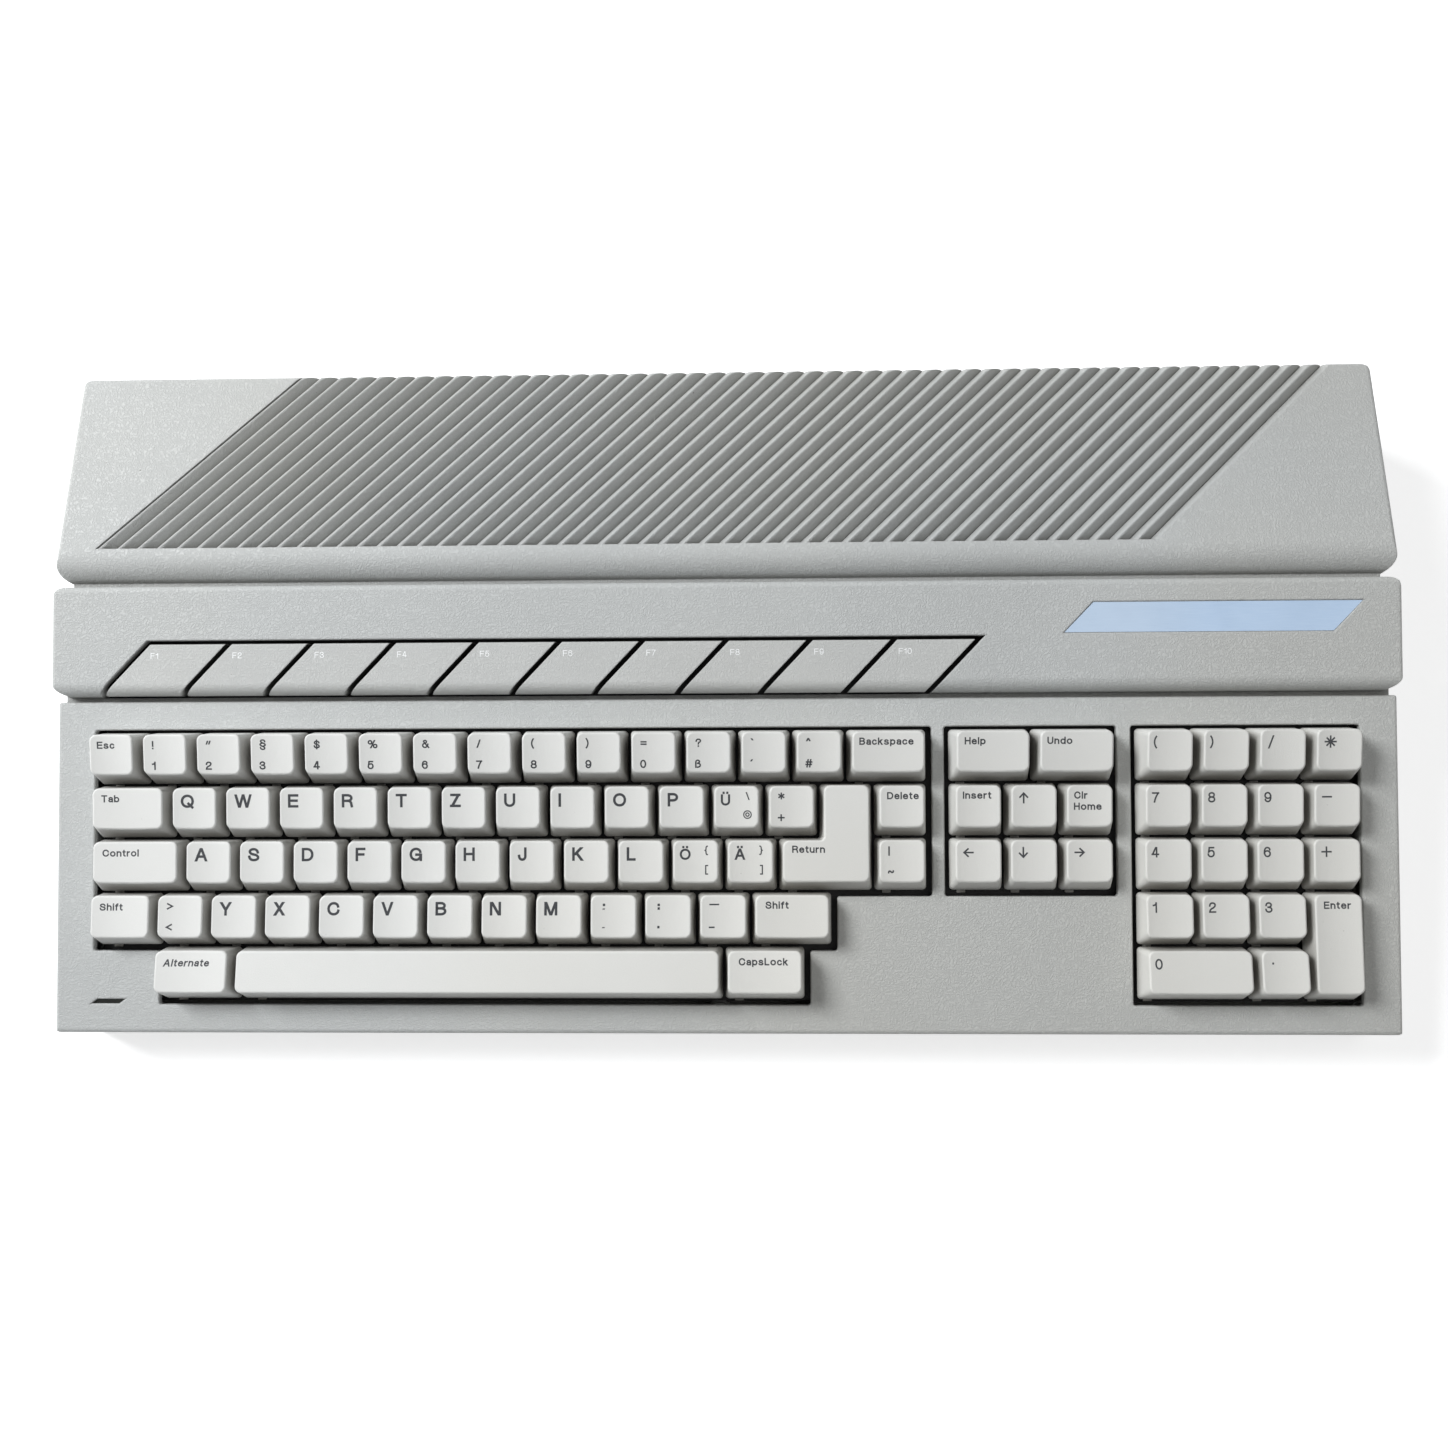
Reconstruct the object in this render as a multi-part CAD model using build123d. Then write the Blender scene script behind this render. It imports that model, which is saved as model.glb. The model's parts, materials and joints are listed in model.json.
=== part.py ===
from build123d import *
import math
import os

os.makedirs("parts", exist_ok=True)

# Vintage all-in-one home computer: keyboard, logic board and sockets in one
# low wedge case. Millimetres, +Z up, back of the case at +Y, right side at +X.
# The origin is the middle of the footprint, on the plane the feet stand on.

# Driving dimensions.
case_width = 473.2
case_depth = 237.6
foot_height = 3.0
seam_height = 17.0
wall = 2.5
plan_radius = 5.0
front_radius = 1.6

# The key deck is a tilted plane. Points on it are (x, b, c): b runs up the slope
# from the back edge of the key field, c is the height above the plane.
deck_tilt = 8.5
deck_y = -13.1
deck_z = 43.7
deck_back = 10.9
ledge_one = -2.5
strip_front = 12.2
strip_back = 52.0
strip_top = 5.2
strip_round = 4.6
ledge_two = 0.0
ledge_inset_one = 1.9
ledge_inset_two = 5.3
rear_front = 53.0
rear_round = 9.0
rear_rise = (63.0, 5.5)
rear_fall = (128.0, -12.0)
rear_inset = 1.6
rear_skin = 5.6

# Slanted ribs in the rear top.
rib_count = 52
rib_pitch = 7.18
rib_depth = 2.7
rib_valley = 3.9
rib_start = -219.9
rib_slant = 0.99
rib_front = 64.4
rib_crest = 0.14
rib_shoulder = (0.85, 0.32)
rib_line = (0.3, 0.7)

# Keys.
pitch = 19.05
main_units = 15.5
cursor_gap = 7.2
keypad_gap = 7.8
cap_base = 18.2
cap_wall = 1.4
cap_bottom = -1.6
key_travel = 3.8
function_travel = 3.0
stem_side = 5.6
stem_bottom = -10.6
well_left = 1.2
well_right = 1.7
well_back = 0.6
well_front = 1.8
well_corner = 1.0
# One row each, from the back: top height, top width loss, top length, lean back, tilt.
cap_rows = (
    (10.3, 3.00, 13.9, 1.4, 5.0),
    (7.7, 2.85, 14.1, 1.5, 2.0),
    (6.8, 2.60, 14.3, 1.6, 0.0),
    (7.9, 2.40, 14.5, 1.7, -3.0),
    (10.2, 2.40, 14.3, 1.9, -7.0),
)
cap_dish = 0.75
cap_edge = 0.4
bar_edge = 0.6

# Function keys: a row of slanted keys in the strip.
function_count = 10
function_left = -202.1
function_right = 93.5
function_back = 32.1
function_gap = 2.4
function_clear = (0.5, 1.2)
function_slant = 0.95

# Keyboard unit, heights in c.
guide_top = -6.6
guide_thickness = 2.2
tower_top = -2.2
tower_bottom = -13.6
tower_wall = 1.5
stem_clearance = 0.06
dome_top = -14.8
sheet_top = -16.0
sheet_thickness = 0.8
board_thickness = 1.6
plate_thickness = 1.0
unit_half_width = 222.6
unit_front = -96.4
unit_back = 34.0

# Logic board.
board_under = 9.0
board_half_width = 214.0
board_front = -54.0
board_back = 113.0

tilt = math.radians(deck_tilt)
deck = Plane(origin=(0, deck_y, deck_z), x_dir=(1, 0, 0), z_dir=(0, -math.sin(tilt), math.cos(tilt)))
field_width = (main_units + 7) * pitch + cursor_gap + keypad_gap
field_left = -field_width / 2
cursor_left = field_left + main_units * pitch + cursor_gap
keypad_left = cursor_left + 3 * pitch + keypad_gap
half_width = case_width / 2
half_depth = case_depth / 2
inner_top = 1.6 + board_under


def section(b, c):
    # deck coordinates to (Y, Z) of the case
    return (deck_y + b * math.cos(tilt) - c * math.sin(tilt),
            deck_z + b * math.sin(tilt) + c * math.cos(tilt))


def height_at(y, first, second):
    # height of the line through two (Y, Z) points
    return first[1] + (y - first[0]) * (second[1] - first[1]) / (second[0] - first[0])


def block(x0, x1, y0, y1, z0, z1):
    return Pos((x0 + x1) / 2, (y0 + y1) / 2, (z0 + z1) / 2) * Box(x1 - x0, y1 - y0, z1 - z0)


def post(x, y, z0, z1, radius):
    return Pos(x, y, (z0 + z1) / 2) * Cylinder(radius, z1 - z0)


def prism(points, z0, z1):
    # closed outline in plan, extruded between two heights
    return Pos(0, 0, z0) * extrude(Polygon(*points, align=None), z1 - z0)


def rounded_outline(points, rounds):
    # outline with some corners rounded: rounds maps the corner's index to its radius
    outline = Sketch() + Polygon(*points, align=None)
    for index, radius in rounds.items():
        corner = outline.vertices().sort_by_distance((*points[index], 0))[0]
        outline = fillet(corner, radius)
    return outline


def across(outline, half):
    # a (Y, Z) outline extruded both ways along X
    return extrude(Plane.YZ * outline, half, both=True)


def slanted(x0, x1, b0, b1, back, slant):
    # parallelogram whose sides lean right towards the back; x0 and x1 are at b = back
    return [
        (x0 - (back - b0) * slant, b0),
        (x1 - (back - b0) * slant, b0),
        (x1 - (back - b1) * slant, b1),
        (x0 - (back - b1) * slant, b1),
    ]


def save(name, shape):
    export_step(shape, f"parts/{name}.step")


# Case. Its top is three raised slabs with a groove between each pair.
deck_front_top = (-half_depth, height_at(-half_depth, section(0, 0), section(1, 0)))
deck_back_top = section(deck_back, 0)
strip_front_y = section(strip_front, ledge_one)[0]
strip_back_top = section(strip_back, strip_top)
rear_front_y = section(rear_front, ledge_two)[0]
rear_line = (section(*rear_rise), section(*rear_fall))
rear_back_z = height_at(half_depth, *rear_line)
rear_front_z = height_at(rear_front_y, *rear_line)
strip_front_z = height_at(strip_front_y, section(0, strip_top), section(1, strip_top))


def slab(y0, z0, y1, z1, bottom, half, rounds, side_radius, corner=plan_radius):
    # one raised part of the case top: flat sloping top from (y0, z0) to (y1, z1)
    points = [(y0, bottom), (y1, bottom), (y1, z1), (y0, z0)]
    body = across(rounded_outline(points, {3: rounds[0], 2: rounds[1]}), half)
    plan = Pos(0, (y0 + y1) / 2, 0) * extrude(RectangleRounded(2 * half, y1 - y0, corner), 80)
    slope = math.degrees(math.atan2(z1 - z0, y1 - y0))
    front_view = Sketch() + Polygon((-half, -90), (half, -90), (half, 0), (-half, 0), align=None)
    front_view = fillet(front_view.vertices().group_by(Axis.Y)[-1], side_radius)
    along = Pos(0, y0, z0) * Rot(slope, 0, 0) * Rot(90, 0, 0) * extrude(front_view, 400, both=True)
    return body & plan & along


def ledge(y0, y1, level, half, bottom):
    # floor of a groove that runs across the case and down its sides
    first, second = section(0, level), section(1, level)
    points = [(y0, bottom), (y1, bottom), (y1, height_at(y1, first, second)),
              (y0, height_at(y0, first, second))]
    return across(Polygon(*points, align=None), half)


def case_top_body():
    body = slab(-half_depth, deck_front_top[1], *deck_back_top, seam_height,
                half_width, (1.6, 0.8), 1.2, front_radius)
    body += slab(strip_front_y, strip_front_z, *strip_back_top, seam_height,
                 half_width, (strip_round, 2.2), 1.4)
    body += slab(rear_front_y, rear_front_z, half_depth, rear_back_z, seam_height,
                 half_width - rear_inset, (rear_round, 2.5), 1.6)
    body += ledge(deck_back_top[0] - 4, strip_front_y + 6, ledge_one, half_width - ledge_inset_one, seam_height)
    body += ledge(strip_back_top[0] - 4, rear_front_y + 8, ledge_two, half_width - ledge_inset_two, seam_height)
    return body


def case_top_cavity():
    low = seam_height - 5
    deck_half = half_width - wall
    drop = wall / math.cos(tilt)
    front_y = -half_depth + wall
    front_z = height_at(front_y, section(0, 0), section(1, 0)) - drop
    deck_end = deck_back_top[0] - wall
    deck_end_z = height_at(deck_end, section(0, 0), section(1, 0)) - drop
    points = [(front_y, low), (deck_end, low), (deck_end, deck_end_z), (front_y, front_z)]
    cavity = across(rounded_outline(points, {3: 1.0}), deck_half)
    y0, y1 = strip_front_y + wall, strip_back_top[0] - wall
    line = (section(0, strip_top), section(1, strip_top))
    points = [(y0, low), (y1, low), (y1, height_at(y1, *line) - drop), (y0, height_at(y0, *line) - drop)]
    cavity += across(rounded_outline(points, {3: strip_round - wall}), deck_half)
    y0, y1 = rear_front_y + wall, half_depth - wall
    points = [(y0, low), (y1, low), (y1, height_at(y1, *rear_line) - rear_skin),
              (y0, height_at(y0, *rear_line) - rear_skin)]
    cavity += across(rounded_outline(points, {3: rear_round - wall}), half_width - rear_inset - wall)
    cavity += ledge(deck_end - 1, strip_front_y + wall + 1, ledge_one - wall,
                    half_width - ledge_inset_one - wall, low)
    cavity += ledge(strip_back_top[0] - wall - 1, rear_front_y + wall + 1, ledge_two - wall,
                    half_width - ledge_inset_two - wall, low)
    return cavity


rear_slope = math.atan2(rear_line[1][1] - rear_line[0][1], rear_line[1][0] - rear_line[0][0])
rib_origin_y = section(rib_front, 0)[0]
rib_plane = Plane(
    origin=(0, rib_origin_y, height_at(rib_origin_y, *rear_line)),
    x_dir=(1, 0, 0),
    z_dir=(0, -math.sin(rear_slope), math.cos(rear_slope)),
)


def rib_prism(profile, start, length):
    # an (x, height) profile swept along the slanted rib direction of the rear top
    face = Plane.XZ * Polygon(*profile, align=None)
    shifted = Pos(start * rib_slant, start, 0) * face
    direction = Vector(rib_slant, 1, 0)
    return rib_plane * extrude(shifted, length * direction.length, dir=direction)


def rib_grooves():
    # sawtooth grooves: broad face to the right, steep face to the left, a fine line along the valley
    line, sink = rib_line
    run, drop = rib_shoulder
    tools = []
    for i in range(rib_count):
        x = rib_start + i * rib_pitch
        valley = x + rib_valley
        end = x + rib_pitch
        tools.append(rib_prism([
            (x + rib_crest, 0.02), (x + rib_crest, 2), (end - rib_crest, 2), (end - rib_crest, 0.02),
            (end - rib_crest - 0.2, -drop * 0.7), (valley + line / 2, -rib_depth),
            (valley + line / 2, -rib_depth - sink), (valley - line / 2, -rib_depth - sink),
            (valley - line / 2, -rib_depth), (x + run, -drop)], 0, 76))
    edge, crest = rib_start - 1.3, rib_start - rib_crest
    tools.append(rib_prism([(edge, 2), (edge, -1.0), (crest, 0.02), (crest, 2)], 0, 76))
    return tools


# Screws that close the case come up from below.
case_screw_places = [(-228.0, -111.6), (0.0, -111.6), (228.0, -111.6), (-227.6, -50.0), (227.6, -50.0),
                     (-226.0, 109.5), (226.0, 109.5)]
case_screw_head = 8.0
case_screw_tip = 23.0

plate_recess = 0.8
edge_bevel = 0.35
plate_points = slanted(130.8, 223.2, 32.9, 43.5, 43.5, function_slant)
light_points = slanted(-221.6, -211.6, -96.7, -95.1, -95.1, 1.3)


def well_cut(corners, level=0.0, depth=12.0, radius=0.0):
    # straight cut through the skin with a small bevel at the surface
    outline = rounded_outline(corners, dict.fromkeys(range(len(corners)), radius) if radius else {})
    straight = Pos(0, 0, level - depth) * extrude(outline, depth + 14)
    bevel = Pos(0, 0, level - edge_bevel) * extrude(outline, 2 * edge_bevel, taper=-45)
    return deck * (straight + bevel)


def key_wells():
    left, right = field_left - well_left, field_left + main_units * pitch + well_right
    back = well_back
    row3 = -3 * pitch - well_front
    row4 = -4 * pitch - well_front
    row5 = -5 * pitch - well_front
    first = field_left + 1.25 * pitch - well_left
    step = field_left + 13.75 * pitch + well_right
    last = field_left + 13.25 * pitch + well_right
    main = [(left, back), (left, row4), (first, row4), (first, row5), (last, row5), (last, row4),
            (step, row4), (step, row3), (right, row3), (right, back)]
    x0, x1 = cursor_left - well_left, cursor_left + 3 * pitch + well_right
    cursor = [(x0, back), (x0, row3), (x1, row3), (x1, back)]
    x0, x1 = keypad_left - well_left, keypad_left + 4 * pitch + well_right
    keypad = [(x0, back), (x0, row5), (x1, row5), (x1, back)]
    return [well_cut(outline, radius=well_corner) for outline in (main, cursor, keypad)]


def function_slot():
    points = slanted(function_left, function_right, strip_front, function_back, function_back, function_slant)
    return well_cut(points, strip_top, strip_top + 9)


# Sockets and switches on the rear wall: x of each centre.
socket_z = 17.0
reset_x = -197.0
switch_x = -172.0
power_x = -149.0
midi_x = (-121.0, -97.0)
monitor_x = -68.0
floppy_x = -38.0
disk_x = 8.0
printer_x = 66.0
modem_x = 132.0
din_hole = 7.9
switch_size = (19.4, 13.2)
reset_size = 7.0
cartridge_y = (50.5, 103.5)
cartridge_z = (10.9, 24.0)
joystick_y = (63.6, 94.8)
d_shells = {"small": (16.9, 8.4), "disk": (30.7, 8.4), "wide": (38.9, 8.4)}


def d_outline(width, height, grow=0.0):
    # D shape with a slightly narrower lower side, rounded corners
    w, h, lean = width / 2 + grow, height / 2 + grow, 0.75
    outline = Sketch() + Polygon((-w + lean, -h), (w - lean, -h), (w, h), (-w, h), align=None)
    return fillet(outline.vertices(), 1.9)


def rear_prism(outline, x, y0, y1):
    # an (x, z) outline centred on a rear socket, extruded from y0 to y1
    return Pos(x, y0, socket_z) * Rot(90, 0, 0) * extrude(outline, -(y1 - y0))


def rear_cuts():
    y0, y1 = half_depth - wall - 1, half_depth + 1
    cuts = [rear_prism(Circle(din_hole), x, y0, y1) for x in (power_x, *midi_x, monitor_x, floppy_x)]
    cuts += [rear_prism(d_outline(*d_shells["wide"], 0.4), x, y0, y1) for x in (printer_x, modem_x)]
    cuts.append(rear_prism(d_outline(*d_shells["disk"], 0.4), disk_x, y0, y1))
    cuts.append(rear_prism(Rectangle(*switch_size), switch_x, y0, y1))
    cuts.append(rear_prism(Rectangle(reset_size, reset_size), reset_x, y0, y1))
    return cuts


def side_prism(outline, y, x0, x1):
    # a (y, z) outline centred on a side socket, extruded from x0 to x1
    return Pos(x0, y, socket_z) * (Plane.YZ * extrude(outline, x1 - x0))


def side_cuts():
    cuts = [block(-half_width - 1, -half_width + rear_inset + wall + 1, *cartridge_y, *cartridge_z)]
    cuts += [side_prism(d_outline(*d_shells["small"], 0.4), y, half_width - wall - 2, half_width + 1)
             for y in joystick_y]
    return cuts


def upper_case():
    outside = case_top_body()
    body = outside - case_top_cavity()
    for x, y in case_screw_places:
        body += post(x, y, seam_height, 70, 3.6) & outside
        body -= post(x, y, seam_height - 1, case_screw_tip + 0.6, 1.5)
    body -= key_wells()
    body -= function_slot()
    body -= rib_grooves()
    body -= well_cut(plate_points, strip_top, plate_recess)
    body -= well_cut(light_points, 0, 6)
    body -= rear_cuts()
    body -= side_cuts()
    return body


# Lower case.
board_screw_places = [(-205, -46), (0, -46), (205, -46), (-205, 36), (205, 36), (190, 100), (99, 100),
                      (-21.5, 103), (-190, 88)]
shield_pads = [(-150, -38), (150, -38), (-150, 70), (150, 70)]
foot_places = [(-205, -98), (205, -98), (-205, 98), (205, 98)]
floor_top = foot_height + wall


def unit_bottom():
    # c of the underside of the keyboard's base plate
    return sheet_top - sheet_thickness - board_thickness - plate_thickness


def lower_case():
    corners = [(-half_width, -half_depth), (half_width, -half_depth), (half_width, half_depth),
               (-half_width, half_depth)]
    outline = rounded_outline(corners, {0: front_radius, 1: front_radius, 2: plan_radius, 3: plan_radius})
    body = Pos(0, 0, foot_height) * extrude(outline, seam_height - foot_height)
    body = chamfer(body.faces().sort_by(Axis.Z)[0].edges(), 1.2)
    body -= block(-half_width + wall, half_width - wall, -half_depth + wall, half_depth - wall, floor_top, 40)
    for y0, y1, inset in ((deck_back_top[0] - 4, strip_front_y + 6, ledge_inset_one),
                          (strip_back_top[0] - 4, rear_front_y + 8, ledge_inset_two)):
        for side in (-1, 1):
            x0, x1 = sorted((side * (half_width - inset - wall), side * (half_width - wall / 2)))
            body += block(x0, x1, y0, y1, floor_top - 1, seam_height)
    for x, y in case_screw_places:
        body += post(x, y, floor_top - 1, seam_height, 4.5)
        body -= post(x, y, 0, case_screw_head, 3.4)
        body -= post(x, y, 0, seam_height + 1, 1.7)
    for x, y in board_screw_places:
        body += post(x, y, floor_top - 1, board_under, 3.2) + post(x, y, floor_top - 1, floor_top + 1, 5.5)
        body -= post(x, y, floor_top - 1, board_under + 1, 1.3)
    for x, y in shield_pads:
        body += post(x, y, floor_top - 1, floor_top + 1, 5)
    under_unit = deck * block(-400, 400, -400, 400, -200, unit_bottom())
    for x, y in [(x, y) for x in (-190, -62, 62, 190) for y in (-96, -62)] + [(-219, 10), (219, 10)]:
        body += post(x, y, floor_top - 1, 60, 2.8) & under_unit
    for i in range(20):
        x = -152 + 16 * i
        body -= Pos(x, -12, foot_height) * extrude(SlotOverall(36, 3, rotation=90), 5, both=True)
    body -= rear_cuts()
    body -= side_cuts()
    return body


def feet():
    shapes = []
    for x, y in foot_places:
        foot = post(x, y, 0, foot_height, 8)
        shapes.append(fillet(foot.edges().sort_by(Axis.Z)[0], 0.8))
    return Compound(shapes)


def pan_screw(radius, length, head_radius, head_height):
    # head on top at z 0 to head_height, shank down to -length, cross recess
    screw = Pos(0, 0, head_height / 2) * Cylinder(head_radius, head_height)
    screw = fillet(screw.edges().sort_by(Axis.Z)[-1], head_height * 0.45)
    screw += Pos(0, 0, -length / 2) * Cylinder(radius, length)
    for turn in (0, 90):
        screw -= Pos(0, 0, head_height) * Rot(0, 0, turn) * Box(head_radius * 1.1, 0.8, head_height)
    return screw


def case_screws():
    screw = pan_screw(1.48, case_screw_tip - case_screw_head, 3.0, 2.0)
    return Compound([Pos(x, y, case_screw_head) * Rot(180, 0, 0) * screw for x, y in case_screw_places])


def name_plate():
    thin = [(x - 0.1 if x > 160 else x + 0.1, b + (0.08 if b < 38 else -0.08)) for x, b in plate_points]
    plate = prism(thin, strip_top - plate_recess, strip_top - 0.2)
    return deck * plate


def power_light():
    lens = [(x + (0.08 if x < -217 else -0.08), b + (0.05 if b < -96 else -0.05)) for x, b in light_points]
    piece = prism(lens, -4, -0.9)
    piece += block(-225, -210.5, -97.6, -94.4, -4.6, -2.5)
    piece += Pos(-217.7, -96, -5.4) * Cylinder(1.5, 1.6)
    return deck * piece


# Keyboard unit: everything below is placed in deck coordinates.
def cell(block_left, start, units, row, rows=1):
    # centre and size in units of one key
    return (block_left + (start + units / 2) * pitch, -(row + rows / 2) * pitch, units, rows)


main_keys = {
    "escape_key": [(0, 0, 1)],
    "number_row_keys": [(0, i, 1) for i in range(1, 14)],
    "backspace_key": [(0, 14, 1.5)],
    "tab_key": [(1, 0, 1.5)],
    "top_letter_keys": [(1, 1.5 + i, 1) for i in range(12)] + [(1, 14.5, 1)],
    "control_key": [(2, 0, 1.75)],
    "home_letter_keys": [(2, 1.75 + i, 1) for i in range(11)] + [(2, 14.5, 1)],
    "left_shift_key": [(3, 0, 1.25)],
    "bottom_letter_keys": [(3, 1.25 + i, 1) for i in range(11)],
    "right_shift_key": [(3, 12.25, 1.5)],
    "alternate_key": [(4, 1.25, 1.5)],
    "space_bar": [(4, 2.75, 9)],
    "caps_lock_key": [(4, 11.75, 1.5)],
}
key_cells = {name: [(r, *cell(field_left, start, units, r)) for r, start, units in keys]
             for name, keys in main_keys.items()}
key_cells["help_and_cursor_keys"] = [(0, *cell(cursor_left, i * 1.5, 1.5, 0)) for i in range(2)]
key_cells["help_and_cursor_keys"] += [(r, *cell(cursor_left, i, 1, r)) for r in (1, 2) for i in range(3)]
key_cells["keypad_keys"] = [(r, *cell(keypad_left, i, 1, r)) for r in range(3) for i in range(4)]
key_cells["keypad_keys"] += [(3, *cell(keypad_left, i, 1, 3)) for i in range(3)]
key_cells["keypad_keys"] += [(4, *cell(keypad_left, 0, 2, 4)), (4, *cell(keypad_left, 2, 1, 4))]
key_cells["keypad_enter_key"] = [(3, *cell(keypad_left, 3, 1, 3, 2))]
return_start, return_step, return_end = 12.75, 13.5, 14.5
return_stem = (field_left + (return_step + return_end) / 2 * pitch, -2.15 * pitch)
function_pitch = (function_right - function_left - function_gap) / function_count
function_width = function_pitch - function_gap
function_front = strip_front + function_clear[0]
function_rear = function_back - function_clear[1]
function_middle = (function_front + function_rear) / 2


def function_x(index):
    # left edge of a function key, measured at the back of the slot
    return function_left + function_gap + index * function_pitch


def stem_places():
    places = []
    for cells in key_cells.values():
        for row, x, b, units, rows in cells:
            spread = (-3.4, 0, 3.4) if units > 4 else (0,)
            places += [(x + s * pitch, b) for s in spread]
    places.append(return_stem)
    shift = (function_back - function_middle) * function_slant
    places += [(function_x(i) + function_width / 2 - shift, function_middle) for i in range(function_count)]
    return places


def cap_shell(row, units, rows, shrink, drop):
    # tapered body of a keycap about the middle of its cell, smaller by shrink on every side
    height, loss, length, lean, slope = cap_rows[row]
    wide = units * pitch - (pitch - cap_base)
    deep = rows * pitch - (pitch - cap_base)
    top_deep = deep - (cap_base - length)
    base = Pos(0, 0, cap_bottom - drop) * RectangleRounded(wide - 2 * shrink, deep - 2 * shrink, 1.4)
    top = Plane(origin=(0, lean, height - shrink * 1.35), x_dir=(1, 0, 0),
                z_dir=(0, -math.sin(math.radians(slope)), math.cos(math.radians(slope))))
    face = top * RectangleRounded(wide - loss - 2 * shrink, top_deep - 2 * shrink, 2.3 - shrink * 0.5)
    return loft([base.face(), face.face()]), top


def cap_body(row, units, rows=1):
    # dished top with a narrow bevel round it; the space bar's top is plain and rounded
    body, top = cap_shell(row, units, rows, 0, 0)
    if units > 4:
        return fillet(body.faces().sort_by(Axis.Z)[-1].edges(), bar_edge)
    half = (units * pitch - (pitch - cap_base) - cap_rows[row][1]) / 2
    radius = (half * half + cap_dish * cap_dish) / (2 * cap_dish)
    scoop = top * Pos(0, 0, radius - cap_dish) * Rot(90, 0, 0) * Cylinder(radius, 120)
    body -= scoop
    dish = body.faces().filter_by(GeomType.CYLINDER).sort_by(SortBy.AREA)[-1]
    return chamfer(dish.edges(), cap_edge)


def stem(x, b, row):
    return block(x - stem_side / 2, x + stem_side / 2, b - stem_side / 2, b + stem_side / 2,
                 stem_bottom, cap_rows[row][0] - 1.7)


def keycap(row, units, rows=1):
    body = cap_body(row, units, rows) - cap_shell(row, units, rows, cap_wall, 1)[0]
    for s in (-3.4, 0, 3.4) if units > 4 else (0,):
        body += stem(s * pitch, 0, row)
    return body


def return_outline(sides, front, back, radius, inner_radius):
    # L outline: the lower arm runs left, the upper arm goes up on the right
    margin = (pitch - cap_base) / 2
    x0 = field_left + return_start * pitch + margin + sides
    x1 = field_left + return_step * pitch + margin + sides
    x2 = field_left + return_end * pitch - margin - sides
    y0, y1, y2 = -3 * pitch + margin + front, -2 * pitch - margin - back, -pitch - margin - back
    points = [(x0, y0), (x2, y0), (x2, y2), (x1, y2), (x1, y1), (x0, y1)]
    return rounded_outline(points, {0: radius, 1: radius, 2: radius, 3: radius, 4: inner_radius, 5: radius})


def return_shell(shrink, drop):
    height, loss, length, lean, slope = cap_rows[2]
    draft = (cap_base - length) / 2
    base = Pos(0, 0, cap_bottom - drop) * return_outline(shrink, shrink, shrink, 1.4, 0.9)
    top = return_outline(loss / 2 + shrink, draft + lean + shrink, draft - lean + shrink,
                         2.3 - shrink * 0.5, 1.5)
    return loft([base.face(), (Pos(0, 0, height - shrink * 1.35) * top).face()])


def return_key():
    outer = return_shell(0, 0)
    outer = chamfer(outer.faces().sort_by(Axis.Z)[-1].edges(), cap_edge)
    x, b = return_stem
    return deck * (outer - return_shell(cap_wall, 1) + stem(x, b, 2))


def key_group(cells, made):
    shapes = []
    for row, x, b, units, rows in cells:
        kind = (row, units, rows)
        if kind not in made:
            made[kind] = keycap(*kind)
        shapes.append(deck * (Pos(x, b, 0) * made[kind]))
    return Compound(shapes) if len(shapes) > 1 else shapes[0]


def function_shell(inset):
    points = [(function_front + inset, -2.2 - inset), (function_rear - inset, -2.2 - inset),
              (function_rear - inset, strip_top - inset), (function_front + inset, strip_top - inset)]
    profile = rounded_outline(points, {3: strip_round - 0.4 - inset, 2: 0.5})
    side = inset * math.hypot(1, function_slant)
    plan = slanted(side, function_width - side, function_front + inset, function_rear - inset, function_back,
                   function_slant)
    return across(profile, 60) & prism(plan, -10, 10)


def function_key():
    body = function_shell(0) - function_shell(1.5)
    x = function_width / 2 - (function_back - function_middle) * function_slant
    half = stem_side / 2
    body += block(x - half, x + half, function_middle - half, function_middle + half,
                  stem_bottom, strip_top - 1)
    return body


unit_screw_places = [(x, 5.0) for x in (-205, -100, 0, 100, 205)]
unit_screw_places += [(-207, -86), (-112.3, -86), (-55.1, -86), (cursor_left - 3.6, -72),
                      (keypad_left - 3.9, -72)]


def unit_slab(c0, c1, margin=0.0, back=unit_back):
    return block(-unit_half_width + margin, unit_half_width - margin, unit_front + margin, back - margin,
                 c0, c1)


def key_guide_frame():
    under = guide_top - guide_thickness
    places = stem_places()
    hole = stem_side + 2 * stem_clearance
    outer = hole + 2 * tower_wall
    towers = Sketch() + [Pos(x, b) * Rectangle(outer, outer) for x, b in places]
    holes = Sketch() + [Pos(x, b) * Rectangle(hole, hole) for x, b in places]
    body = unit_slab(under, guide_top)
    body += unit_slab(sheet_top, guide_top) - unit_slab(sheet_top - 1, guide_top + 1, 1.6)
    body += Pos(0, 0, tower_bottom) * extrude(towers, tower_top - tower_bottom)
    for x, b in unit_screw_places:
        body += post(x, b, sheet_top, guide_top, 3.2)
    body -= Pos(0, 0, tower_bottom - 1) * extrude(holes, tower_top - tower_bottom + 2)
    for x, b in unit_screw_places:
        body -= post(x, b, sheet_top - 1, guide_top - 1.2, 1.28)
    return deck * body


def rubber_dome_sheet():
    body = unit_slab(sheet_top - sheet_thickness, sheet_top)
    domes = Sketch() + [Pos(x, b) * Circle(3.6) for x, b in stem_places()]
    body += Pos(0, 0, sheet_top - 0.2) * extrude(domes, dome_top - sheet_top + 0.2)
    for x, b in unit_screw_places:
        body -= post(x, b, sheet_top - 3, sheet_top + 1, 1.6)
    return deck * body


def keyboard_circuit_board():
    top = sheet_top - sheet_thickness
    body = unit_slab(top - board_thickness, top)
    for x, b in unit_screw_places:
        body -= post(x, b, top - 3, top + 1, 1.6)
    return deck * body


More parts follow.
